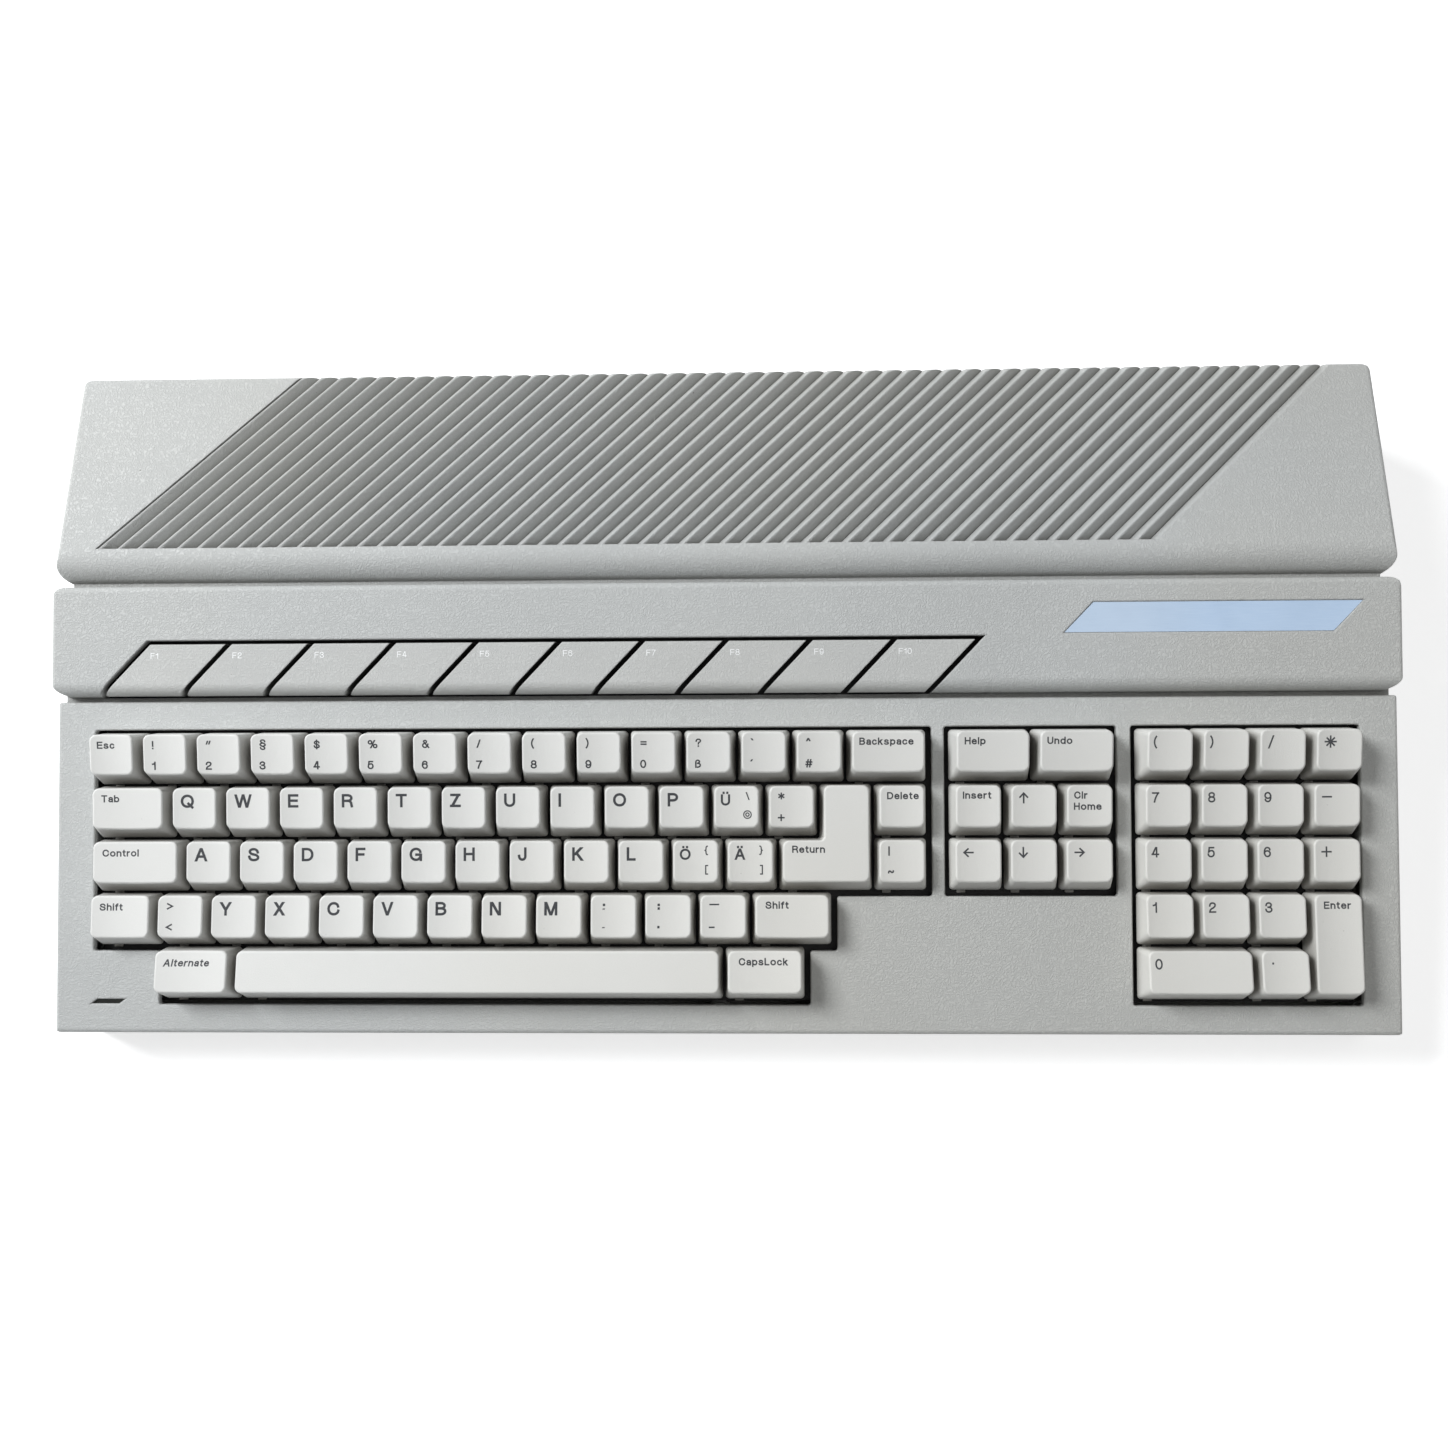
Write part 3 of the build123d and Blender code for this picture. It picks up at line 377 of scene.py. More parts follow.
def darkLens(name, s):
    # unlit lens: smoky plastic with a faint swirl from the mould
    f = Finish(name)
    swirl = f.noise(300, 2)
    tone = f.mix(swirl, s["tone"], s["swirl"])
    tone = f.mix(f.maths("MULTIPLY", f.worn(s["edge"]), s["rubShare"]), tone, s["rubbed"])
    rough = f.span(swirl, 0.3, 0.7, s["rough"])
    return f.finish(tone, rough, f.bump(f.noise(500, 1), s["depth"], 0.4), gloss=s["gloss"])


# the painted shade entries darken the gaps, valleys and corners of the case, keys and function keys;
# the function keys' is near black, so their gaps are painted dark
finishes = {
    "casePlastic": {"tone": colour(197, 199, 198), "variation": 0.025, "aged": colour(196, 194, 186),
                    "grain": 900, "mottle": 0.06, "depth": 0.0002, "edge": 0.0007, "wear": 0.55,
                    "rubbed": colour(226, 227, 226), "rough": 0.50, "specks": 0.6, "scratches": 0.35,
                    "grime": 0.6, "hollow": (0.0035, 0.3, 0.85), "paintedShadeTone": colour(80, 77, 70)},
    "lowerPlastic": {"tone": colour(190, 191, 189), "variation": 0.03, "aged": colour(188, 185, 176),
                     "grain": 900, "mottle": 0.06, "depth": 0.0002, "edge": 0.0008, "wear": 0.5,
                     "rubbed": colour(218, 218, 216), "rough": 0.54, "specks": 0.7, "scratches": 0.5},
    "keyPlastic": {"tone": colour(226, 226, 223), "variation": 0.015, "aged": colour(225, 222, 213),
                   "cloudScale": 30, "grain": 1700, "mottle": 0.015, "depth": 0.00004, "edge": 0.0006,
                   "wear": 0.6, "rubbed": colour(243, 243, 241), "rough": 0.42, "specks": 0.35,
                   "grime": 0.6, "hollow": (0.007, 0.2, 0.8), "paintedShadeTone": colour(92, 86, 76)},
    "functionPlastic": {"tone": colour(200, 201, 199), "variation": 0.02,
                        "aged": colour(198, 196, 189),
                        "cloudScale": 26, "grain": 1000, "mottle": 0.05, "depth": 0.00016,
                        "edge": 0.0006, "wear": 0.6, "rubbed": colour(228, 228, 226),
                        "rough": 0.48, "specks": 0.4,
                        "grime": 0.95, "hollow": (0.004, 0.5, 0.9), "paintedShadeTone": colour(30, 29, 27)},
    "guidePlastic": {"tone": colour(17, 17, 18), "variation": 0.15, "grain": 1500, "mottle": 0.2,
                     "depth": 0.00006, "edge": 0.0005, "wear": 0.4, "rubbed": colour(52, 52, 51),
                     "rough": 0.55, "specks": 0.2},
    "chipEpoxy": {"tone": colour(34, 34, 36), "variation": 0.12, "grain": 1900, "mottle": 0.25,
                  "depth": 0.00005, "edge": 0.0003, "wear": 0.4, "rubbed": colour(92, 92, 92),
                  "rough": 0.5, "specks": 0.1},
    "canSleeve": {"tone": colour(40, 62, 112), "variation": 0.1, "grain": 700, "mottle": 0.12,
                  "depth": 0.00003, "edge": 0.0004, "wear": 0.5, "rubbed": colour(120, 140, 172),
                  "rough": 0.3, "specks": 0.0},
    "cablePlastic": {"tone": colour(150, 150, 146), "variation": 0.06, "grain": 900, "mottle": 0.1,
                     "depth": 0.00005, "edge": 0.0004, "wear": 0.4, "rubbed": colour(186, 186, 182),
                     "rough": 0.5, "specks": 0.1},
    "padPlastic": {"tone": colour(176, 174, 168), "variation": 0.04, "grain": 1600, "mottle": 0.05,
                   "depth": 0.00003, "edge": 0.0003, "wear": 0.4, "rubbed": colour(206, 204, 198),
                   "rough": 0.4, "specks": 0.3},
    "socketPlastic": {"tone": colour(38, 38, 39), "variation": 0.1, "grain": 1800, "mottle": 0.2,
                      "depth": 0.00005, "edge": 0.0004, "wear": 0.5, "rubbed": colour(96, 95, 93),
                      "rough": 0.44, "specks": 0.15},
    "switchPlastic": {"tone": colour(28, 28, 29), "variation": 0.1, "grain": 2000, "mottle": 0.2,
                      "depth": 0.00004, "edge": 0.0004, "wear": 0.5, "rubbed": colour(84, 84, 82),
                      "rough": 0.38, "specks": 0.1},
    "rockerPlastic": {"tone": colour(44, 44, 45), "variation": 0.08, "grain": 2200, "mottle": 0.15,
                      "depth": 0.00003, "edge": 0.0005, "wear": 0.6, "rubbed": colour(112, 111, 108),
                      "rough": 0.32, "specks": 0.1},
    "namePlate": {"pale": colour(190, 206, 224), "deep": colour(172, 195, 222), "metal": 0.15,
                  "grain": 300, "grainStretch": (0.5, 26, 1), "grainShare": 0.25, "bandScale": 9,
                  "bandStretch": (1, 0.2, 1), "edge": 0.0003, "rubShare": 0.6,
                  "rubbed": colour(214, 218, 222), "rough": (0.30, 0.44), "depth": 0.00002},
    "darkLens": {"tone": colour(12, 13, 12), "swirl": colour(24, 27, 22), "edge": 0.0003,
                 "rubShare": 0.5, "rubbed": colour(70, 73, 67), "rough": (0.34, 0.48),
                 "depth": 0.00001, "gloss": 0.25},
    "boardLaminate": {"tone": colour(26, 78, 46), "track": colour(38, 104, 58), "trackScale": 95,
                      "trackStretch": (1, 7, 1), "trackRange": (0.50, 0.53), "weaveScale": 240,
                      "weave": colour(70, 120, 74), "weaveShare": 0.18, "edge": 0.0004,
                      "rubShare": 0.7, "rubbed": colour(168, 150, 96), "rough": (0.28, 0.42),
                      "depth": 0.00004},
    "keyInk": {"tone": colour(50, 52, 56), "under": colour(100, 101, 103), "rubbed": 0.15,
               "rough": (0.42, 0.58), "depth": 0.00001},
    "functionInk": {"tone": colour(246, 247, 247), "under": colour(222, 223, 222), "rubbed": 0.3,
                    "rough": (0.42, 0.58), "depth": 0.00001},
    "screwSteel": {"tone": colour(176, 176, 172), "rough": 0.30},
    "plateSteel": {"tone": colour(150, 152, 154), "rough": 0.38},
    "tinPlate": {"tone": colour(184, 186, 188), "rough": 0.34, "turn": 90},
    "contactMetal": {"tone": colour(168, 168, 162), "rough": 0.28},
    "footRubber": {"tone": colour(44, 44, 44)},
    "domeRubber": {"tone": colour(92, 96, 100)},
}


def plastic(name):
    return mouldedPlastic(name, finishes[name])


slots = {
    "case_plastic": plastic("casePlastic"),
    "key_plastic": plastic("keyPlastic"),
    "function_key_plastic": plastic("functionPlastic"),
    "name_plate_enamel": anodisedPlate("namePlate", finishes["namePlate"]),
    "light_lens": darkLens("darkLens", finishes["darkLens"]),
    "foot_rubber": rubberSkin("footRubber", finishes["footRubber"]),
    "dome_rubber": rubberSkin("domeRubber", finishes["domeRubber"]),
    "screw_steel": rolledMetal("screwSteel", finishes["screwSteel"]),
    "plate_steel": rolledMetal("plateSteel", finishes["plateSteel"]),
    "shield_tinplate": rolledMetal("tinPlate", finishes["tinPlate"]),
    "guide_plastic": plastic("guidePlastic"),
    "board_laminate": boardLaminate("boardLaminate", finishes["boardLaminate"]),
    "chip_epoxy": plastic("chipEpoxy"),
    "capacitor_sleeve": plastic("canSleeve"),
    "cable_plastic": plastic("cablePlastic"),
    "socket_plastic": plastic("socketPlastic"),
    "socket_metal": rolledMetal("contactMetal", finishes["contactMetal"]),
    "switch_plastic": plastic("switchPlastic"),
    "rocker_plastic": plastic("rockerPlastic"),
}
keyInk = inkFilm("keyInk", finishes["keyInk"])
functionInk = inkFilm("functionInk", finishes["functionInk"])


def dressNodes():
    for thing in cadNodes.values():
        for slot in thing.material_slots:
            slot.material = slots[slot.material.name]
    lower = plastic("lowerPlastic")
    for slot in cadNodes["lower_case"].material_slots:
        slot.material = lower


dressNodes()
print("finishes made")


# key legends
deck = {"tilt": 8.5, "y": -13.1, "z": 43.7}
keyField = {
    "pitch": 19.05, "main": -221.8125, "cursor": 80.6625, "keypad": 145.6125, "base": 18.2,
    # one row of keytops each: width lost to the slanted sides, length, lean back, tilt in degrees
    "rows": ((3.00, 13.9, 1.4, 5.0), (2.85, 14.1, 1.5, 2.0), (2.60, 14.3, 1.6, 0.0),
             (2.40, 14.5, 1.7, -3.0), (2.40, 14.3, 1.9, -7.0)),
}
legends = {
    # height of a capital, stroke width as a share of it, distance from the keytop's left
    # and back edges
    "letter": {"cap": 4.7, "weight": 0.185, "left": 2.75, "back": 2.2},
    "umlaut": {"cap": 3.9, "weight": 0.185, "left": 2.2, "back": 2.75},
    "word": {"cap": 2.5, "weight": 0.185, "left": 2.55, "back": 2.35},
    "upper": {"cap": 2.9, "weight": 0.17, "left": 3.05, "back": 2.2},
    "lower": {"cap": 2.9, "weight": 0.175, "left": 2.85, "back": 9.45},
    "dots": {"cap": 2.75, "weight": 0.29, "left": 4.1, "back": 2.2},
    "lowDots": {"cap": 2.75, "weight": 0.29, "left": 4.0, "back": 8.6},
    "digit": {"cap": 3.6, "weight": 0.15, "left": 2.0, "back": 2.5},
    "point": {"cap": 3.0, "weight": 0.2, "left": 3.4, "back": 1.4},
    "sign": {"cap": 3.5, "weight": 0.15, "left": 2.0, "back": 2.4},
    "wideSign": {"cap": 4.5, "weight": 0.12, "left": 2.5, "back": 2.0},
    "arrow": {"cap": 3.8, "weight": 0.145, "left": 2.6, "back": 2.4},
    "rightHigh": {"cap": 2.75, "weight": 0.15, "left": 10.8, "back": 2.0},
    "rightLow": {"cap": 3.0, "weight": 0.13, "left": 9.9, "back": 8.3},
    "bracket": {"cap": 2.8, "weight": 0.15, "left": 11.0, "back": 8.7},
    "function": {"cap": 2.15, "weight": 0.14, "left": 0.1, "back": 3.3},
}
slantedWord = 0.18
# gap between letters as a share of their height; the rest are the film's own lengths and steps
lettering = {
    "gap": 0.145, "arcSteps": 5, "arcPull": 0.58, "longest": 0.9,
    "proud": 0.03, "sunk": 0.03, "layer": 0.004, "layers": 4, "above": 40,
    "touching": 0.001, "sharpest": 0.3,
}

# The lettering is drawn as strokes of even width on a grid 10 high. In a stroke's list of
# points ~ marks a corner that is rounded, and = a sloping stroke with level ends.
strokeSigns = {
    "A": "=0,0 4.7,10;=9.4,0 4.7,10;1.7,3.3 7.7,3.3",
    "B": "0,0 0,10 3.8,10 7,10~ 7,5.3~ 3.8,5.3 0,5.3;3.8,5.3 7.6,5.3~ 7.6,0~ 3.8,0 0,0",
    "C": "8.5,7.1 8.2,10~ 4.5,10 0,10~ 0,0~ 4.5,0 8.5,0~ 8.8,3.2",
    "D": "0,0 0,10 3.6,10 8.3,10~ 8.3,0~ 3.6,0 0,0",
    "E": "7.1,10 0,10 0,0 7.1,0;0,5.2 6.6,5.2",
    "F": "0,0 0,10 6.6,10;0,5 5.8,5",
    "G": "8.5,7.3 8.1,10~ 4.7,10 0,10~ 0,0~ 4.7,0 8.5,0~ 9,4;9.1,0 9.1,4.7 5.1,4.7",
    "H": "0,0 0,10;7.8,0 7.8,10;0,5.2 7.8,5.2",
    "I": "0,0 0,10",
    "J": "5.6,10 5.6,3 5.6,0~ 0,0~ 0,3.4",
    "K": "0,0 0,10;=7.5,10 0.6,3.8;=2.8,5.9 8,0",
    "L": "0,10 0,0 5.8,0",
    "M": "0,0 0,10;9.5,0 9.5,10;=0.2,10 4.75,0;=9.3,10 4.75,0",
    "N": "0,0 0,10;7.8,0 7.8,10;=0.3,10 7.5,0",
    "O": "4.8,10 0,10~ 0,0~ 9.6,0~ 9.6,10~ 4.8,10",
    "P": "0,0 0,10 3.8,10 7.2,10~ 7.2,4.4~ 3.8,4.4 0,4.4",
    "Q": "4.8,10 0,10~ 0,0~ 9.6,0~ 9.6,10~ 4.8,10;5.8,2.7 9.2,-0.6",
    "R": "0,0 0,10 4,10 7.5,10~ 7.5,4.9~ 4,4.9 0,4.9;4.4,4.9 7.3,4.9~ 7.4,2 7.8,0",
    "S": "7.5,7.1 7.2,10~ 3.9,10 0.4,10~ 0.4,5.6~ 4,5.1 7.9,4.6~ 7.9,0~ 3.9,0 0,0~ 0,3.1",
    "T": "0,10 7.7,10;3.85,0 3.85,10",
    "U": "0,10 0,3.6 0,0~ 7.8,0~ 7.8,3.6 7.8,10",
    "V": "=0,10 4.25,0;=8.5,10 4.25,0",
    "W": "=0,10 3.4,0;=6.8,10 3.4,0;=6.8,10 10.2,0;=13.6,10 10.2,0",
    "X": "=0,0 7.8,10;=8.2,0 0.4,10",
    "Y": "=0,10 4.25,4;=8.5,10 4.25,4;4.25,0 4.25,4",
    "Z": "0.3,10 7.4,10;0,0 7.6,0;=7.2,10 0.4,0",
    "a": "0.5,5.6 0.8,7~ 3,7 5.7,7~ 5.7,5 5.7,0;5.7,3.7 2.6,3.7 0,3.6~ 0,0~ 2.6,0 5.4,0~ 5.7,2.2",
    "b": "0,10 0,0;0,3.5 0,7~ 6.7,7~ 6.7,0~ 0,0~ 0,3.5",
    "c": "5.7,5.5 5.1,7~ 3.1,7 0,7~ 0,0~ 3.1,0 5.3,0~ 6,1.5",
    "d": "6.7,10 6.7,0;6.7,3.5 6.7,7~ 0,7~ 0,0~ 6.7,0~ 6.7,3.5",
    "e": "0,3.8 6.4,3.8 6.4,7~ 0,7~ 0,0~ 3.3,0 5.3,0~ 6.2,1.1",
    "f": "3.4,10 1.2,10~ 1.2,7.6 1.2,0;0,7 3.2,7",
    "h": "0,0 0,10;0,4 0,7~ 6.1,7~ 6.1,4 6.1,0",
    "i": "0,0 0,7;0,9.8 0,10",
    "k": "0,0 0,10;=5.6,7 0.6,2.7;=2.3,4.2 6.2,0",
    "l": "0,0 0,10",
    "m": "0,0 0,7;0,4 0,7~ 5.3,7~ 5.3,4 5.3,0;5.3,4 5.3,7~ 10.6,7~ 10.6,4 10.6,0",
    "n": "0,0 0,7;0,4 0,7~ 6.1,7~ 6.1,4 6.1,0",
    "o": "3.6,7 0,7~ 0,0~ 7.2,0~ 7.2,7~ 3.6,7",
    "p": "0,7 0,-2.5;0,3.5 0,7~ 6.7,7~ 6.7,0~ 0,0~ 0,3.5",
    "r": "0,0 0,7;0,3.6 0,7~ 3.4,6.9",
    "s": "5.4,5.7 5,7~ 3,7 0.3,7~ 0.3,3.9~ 3.1,3.5 6.2,3.1~ 6.2,0~ 3.1,0 0.4,0~ 0,1.4",
    "t": "1.3,9.2 1.3,1.8 1.3,0~ 3.3,0;0,7 3.2,7",
    "u": "6.1,7 6.1,0;6.1,3 6.1,0~ 0,0~ 0,3 0,7",
    "0": "3.3,10 0,10~ 0,0~ 6.6,0~ 6.6,10~ 3.3,10",
    "1": "3.2,0 3.2,10;0,7.4 2.4,7.4~ 3.1,9.4",
    "2": "0.2,6.9 0.2,10~ 6.4,10~ 6.4,5.4~ 0.1,2.9~ 0.1,0 6.6,0",
    "3": "0.2,7.3 0.2,10~ 6.1,10~ 6.1,5.4~ 2.6,5.3;2.6,5.3 6.6,5.3~ 6.6,0~ 0,0~ 0,2.9",
    "4": "0,2.6 7,2.6;=0.4,2.6 4.4,10;5,0 5,10",
    "5": "6.1,10 1.2,10 0.5,4.9;0.6,5.3 1.4,6.6~ 6.6,6.7~ 6.6,0~ 0,0~ 0,2.7",
    "6": "6.2,7.6 6.2,10~ 0,10~ 0,5 0,0~ 6.6,0~ 6.6,6.3~ 0,6.3~ 0,3.4",
    "7": "0,10 6.6,10;6.4,10 2.9,5.6~ 2,0",
    "8": "3.3,10 0.4,10~ 0.4,5.3~ 6.2,5.3~ 6.2,10~ 3.3,10;3.3,5.3 0,5.3~ 0,0~ 6.6,0~ 6.6,5.3~ 3.3,5.3",
    "9": "0.4,2.4 0.4,0~ 6.6,0~ 6.6,5 6.6,10~ 0,10~ 0,3.7~ 6.6,3.7~ 6.6,6.6",
    "!": "0,3.6 0,10;0,0 0,0.2",
    "\"": "=0,5.6 1.8,10;=3.4,5.6 5.2,10",
    "§": "6.4,9.4 6.2,11.8~ 0.6,11.8~ 0.6,8.4~ 7,6.2~ 7,3.2~ 3.8,2.7;"
         "0.4,0.6 0.6,-1.8~ 6.2,-1.8~ 6.2,1.6~ -0.2,3.8~ -0.2,6.8~ 3,7.3",
    "$": "6.6,7.4 6.4,9.6~ 3.4,9.6 0.4,9.6~ 0.4,5.6~ 3.5,5 6.9,4.4~ 6.9,0.4~ 3.4,0.4 0,0.4~ 0,2.8;"
         "3.4,-1 3.4,11",
    "%": "=3,0 9,10;2.4,10 0,10~ 0,5.4~ 4.8,5.4~ 4.8,10~ 2.4,10;"
         "9.6,4.6 7.2,4.6~ 7.2,0~ 12,0~ 12,4.6~ 9.6,4.6",
    "&": "8.4,0 1.4,7.4~ 1.4,10~ 5.4,10~ 5.4,6.2~ 0,5.4~ 0,0~ 6.6,0~ 7.4,4.6",
    "/": "=0,0 4.2,10",
    "(": "2.2,11.4 0,8.6~ 0,1.4~ 2.2,-1.4",
    ")": "0,11.4 2.2,8.6~ 2.2,1.4~ 0,-1.4",
    "=": "0,3.2 6.6,3.2;0,6.6 6.6,6.6",
    "?": "0,7.2 0,10~ 6,10~ 6,6~ 3,5.4~ 3,3.2;3,0 3,0.2",
    "ß": "0,0 0,7 0,10~ 5.2,10~ 5.2,6~ 2.6,5.6;2.6,5.6 6.4,5.6~ 6.4,0~ 2.4,0",
    "`": "=2,7 0,10",
    "´": "=0,7 2,10",
    "^": "=0,6.4 2.4,10;=4.8,6.4 2.4,10",
    "#": "=1.2,0 3,10;=5,0 6.8,10;0,3.3 7.4,3.3;0.6,6.8 8,6.8",
    ">": "0,8.6 6.6,5 0,1.4",
    "<": "6.6,8.6 0,5 6.6,1.4",
    ";": "0,6.4 0,6.6;=0,0.2 -0.7,-1.6",
    ":": "0,6.4 0,6.6;0,0 0,0.2",
    ",": "=0,0.2 -0.7,-1.6",
    ".": "0,0 0,0.2",
    "_": "0,7 12,7",
    "-": "0,4.6 6.2,4.6",
    "−": "0,5 7.4,5",
    "+": "0,5 7.8,5;3.9,1.1 3.9,8.9",
    "*": "3.4,2.2 3.4,10;0,4.1 6.8,8.1;0,8.1 6.8,4.1",
    "✳": "4.6,0.4 4.6,9.6;0,5 9.2,5;1.5,1.9 7.7,8.1;1.5,8.1 7.7,1.9",
    "|": "0,-1 0,10.4",
    "~": "0,3.8 0,6~ 2.6,6.2~ 4.2,4~ 6.8,4.2~ 6.8,6.2",
    "\\": "=0,10 4.2,0",
    "{": "3.4,11.2 1.4,11.2~ 1.4,8.4 1.4,6.2 0,5 1.4,3.8 1.4,1.6 1.4,-1.2~ 3.4,-1.2",
    "}": "0,11.2 2,11.2~ 2,8.4 2,6.2 3.4,5 2,3.8 2,1.6 2,-1.2~ 0,-1.2",
    "[": "2.6,11.2 0,11.2 0,-1.2 2.6,-1.2",
    "]": "0,11.2 2.6,11.2 2.6,-1.2 0,-1.2",
    "◎": "5,10 0,10~ 0,0~ 10,0~ 10,10~ 5,10;5,7.2 2.8,7.2~ 2.8,2.8~ 7.2,2.8~ 7.2,7.2~ 5,7.2",
    "←": "9.4,5 0.4,5;4.2,8.9 0,5 4.2,1.1",
    "→": "0,5 9,5;5.2,8.9 9.4,5 5.2,1.1",
    "↑": "4,0 4,9.6;0,5.8 4,10 8,5.8",
    "↓": "4,10 4,0.4;0,4.2 4,0 8,4.2",
}
# two dots over a letter, either side of its middle
for plain, dotted, middle in (("A", "Ä", 4.7), ("O", "Ö", 4.8), ("U", "Ü", 3.9)):
    dots = [f";{x:.1f},12.7 {x:.1f},12.9" for x in (middle - 2, middle + 2)]
    strokeSigns[dotted] = strokeSigns[plain] + "".join(dots)


def readStroke(text):
    # x, y and whether the corner is rounded, for each point
    points = []
    for word in text.lstrip("=").split():
        x, y = word.rstrip("~").split(",")
        points.append((float(x), float(y), word.endswith("~")))
    return points


def arcAt(t, start, pullIn, pullOut, end):
    # point on a curve with two handles
    shares = ((1 - t) ** 3, 3 * t * (1 - t) ** 2, 3 * t * t * (1 - t), t ** 3)
    spots = (start, pullIn, pullOut, end)
    return tuple(sum(n * spot[i] for n, spot in zip(shares, spots)) for i in (0, 1))


def roundedLine(points):
    # a rounded corner's arc runs to the next point, or halfway to the next rounded corner
    line = []
    for i, (x, y, soft) in enumerate(points):
        if not soft:
            line.append((x, y))
            continue
        ends = []
        for near in (points[i - 1], points[i + 1]):
            share = 0.5 if near[2] else 1.0
            ends.append((x + (near[0] - x) * share, y + (near[1] - y) * share))
        pull = lettering["arcPull"]
        handles = [tuple(e + (c - e) * pull for e, c in zip(end, (x, y))) for end in ends]
        for k in range(lettering["arcSteps"] + 1):
            line.append(arcAt(k / lettering["arcSteps"], ends[0], *handles, ends[1]))
    near = lettering["touching"]
    return [p for i, p in enumerate(line) if i == 0 or math.dist(p, line[i - 1]) > near]


def squareEnds(line, half):
    # both ends grow by half the stroke's width
    longer = list(line)
    for end, near in ((0, 1), (-1, -2)):
        length = math.dist(line[end], line[near])
        longer[end] = tuple(a + (a - b) / length * half for a, b in zip(line[end], line[near]))
    return longer


def finely(line):
    # extra points keep long strokes down on the dished keytop
    fine = [line[0]]
    for a, b in zip(line, line[1:]):
        n = max(1, math.ceil(math.dist(a, b) / lettering["longest"]))
        fine += [(a[0] + (b[0] - a[0]) * k / n, a[1] + (b[1] - a[1]) * k / n) for k in range(1, n + 1)]
    return fine


def ribbon(line, half):
    # left and right edge of a stroke that follows a line
    closed = math.dist(line[0], line[-1]) < lettering["touching"]
    fine = finely(line if closed else squareEnds(line, half))
    pairs = []
    for i, spot in enumerate(fine):
        before = fine[i - 1] if i else (fine[-2] if closed else None)
        after = fine[i + 1] if i < len(fine) - 1 else (fine[1] if closed else None)
        steps = [(a, b) for a, b in ((before, spot), (spot, after)) if a and b]
        ways = [Vector((b[0] - a[0], b[1] - a[1])).normalized() for a, b in steps]
        along = sum(ways, Vector((0, 0))).normalized()
        side = Vector((-along.y, along.x))
        reach = half / max(lettering["sharpest"], Vector((-ways[0].y, ways[0].x)).dot(side))
        pairs.append((Vector(spot) + side * reach, Vector(spot) - side * reach))
    return pairs


def levelStroke(start, end, half, unit):
    # straight sloping stroke; ends on the base, middle or top line of the letters are cut level there
    low, high = sorted((start, end), key=lambda p: p[1])
    slope = math.dist(start, end) / (high[1] - low[1])
    spots = []
    for x, y in (low, high):
        grow = -half if y == 0 else (half if y in (7, 10) else 0)
        spots.append((half + x * unit, half + y * unit + grow))
    return [(Vector((x - half * slope, y)), Vector((x + half * slope, y))) for x, y in finely(spots)]


def wordStrokes(words, cap, weight):
    # edge pairs of every stroke in one line of words, in millimetres from its lower left corner
    half = weight * cap / 2
    unit = (cap - 2 * half) / 10
    strokes, start = [], 0.0
    for sign in words:
        right = 0.0
        for text in strokeSigns[sign].split(";"):
            points = readStroke(text)
            right = max(right, max(p[0] for p in points) * unit + 2 * half)
            if text.startswith("="):
                pairs = levelStroke(points[0][:2], points[1][:2], half, unit)
            else:
                line = [(half + x * unit, half + y * unit) for x, y in roundedLine(points)]
                pairs = ribbon(line, half)
            shift = Vector((start, 0))
            strokes.append([(a + shift, b + shift) for a, b in pairs])
        start += right + lettering["gap"] * cap
    return strokes


tilt = math.radians(deck["tilt"])
upDeck = Vector((0, -math.sin(tilt), math.cos(tilt)))
surfaces = {}
inkShapes = {}


def deckPoint(x, b, c):
    # deck millimetres across, up the slope and above it, to metres
    return Vector((x, deck["y"] + b * math.cos(tilt) - c * math.sin(tilt),
                   deck["z"] + b * math.sin(tilt) + c * math.cos(tilt))) * mm


def onKey(node, x, b):
    # the spot on the key's dished top that lies under (x, b)
    if node not in surfaces:
        mesh = cadNodes[node].data
        corners, sides = [v.co for v in mesh.vertices], [p.vertices for p in mesh.polygons]
        surfaces[node] = BVHTree.FromPolygons(corners, sides)
    hit = surfaces[node].ray_cast(deckPoint(x, b, lettering["above"]), -upDeck)[0]
    if hit is None:
        raise ValueError(f"a legend leaves its key: {node}")
    return hit


def printStroke(node, pairs, x, b, layer):
    # one stroke as a thin closed film that follows the keytop
    spots, faces = inkShapes.setdefault(node, ([], []))
    isRing = (pairs[0][0] - pairs[-1][0]).length < lettering["touching"]
    if isRing:
        pairs = pairs[:-1]
    first, count = len(spots), len(pairs)
    rise = lettering["proud"] + layer * lettering["layer"]
    for pair in pairs:
        for edge in pair:
            base = onKey(node, x + edge.x, b + edge.y)
            spots.extend((base + upDeck * rise * mm, base - upDeck * lettering["sunk"] * mm))
    # the four points of a pair are its top left, low left, top right and low right
    for i in range(count if isRing else count - 1):
        a, c = first + 4 * i, first + 4 * ((i + 1) % count)
        faces += [(a, a + 2, c + 2, c), (a + 1, c + 1, c + 3, a + 3)]
        faces += [(a, c, c + 1, a + 1), (a + 2, a + 3, c + 3, c + 2)]
    if not isRing:
        a, c = first, first + 4 * (count - 1)
        faces += [(a, a + 1, a + 3, a + 2), (c, c + 2, c + 3, c + 1)]


def legend(node, words, style, corner, move=(0.0, 0.0), lean=0.0):
    # one line of words from a keytop's left back corner
    s = legends[style]
    x, b = corner[0] + s["left"] + move[0], corner[1] - s["back"] - s["cap"] + move[1]
    for layer, pairs in enumerate(wordStrokes(words, s["cap"], s["weight"])):
        leaning = [[Vector((p.x + p.y * lean, p.y)) for p in pair] for pair in pairs]
        printStroke(node, leaning, x, b, layer % lettering["layers"])


def topCorner(block, start, units, row, rows=1):
    # left and back edge of a keytop, in deck millimetres
    loss, length, lean, slope = keyField["rows"][row]
    pitch = keyField["pitch"]
    wide = units * pitch - (pitch - keyField["base"]) - loss
    deep = (rows - 1) * pitch + length
    x = keyField[block] + (start + units / 2) * pitch - wide / 2
    b = -(row + rows / 2) * pitch + lean + deep / 2 * math.cos(math.radians(slope))
    return x, b


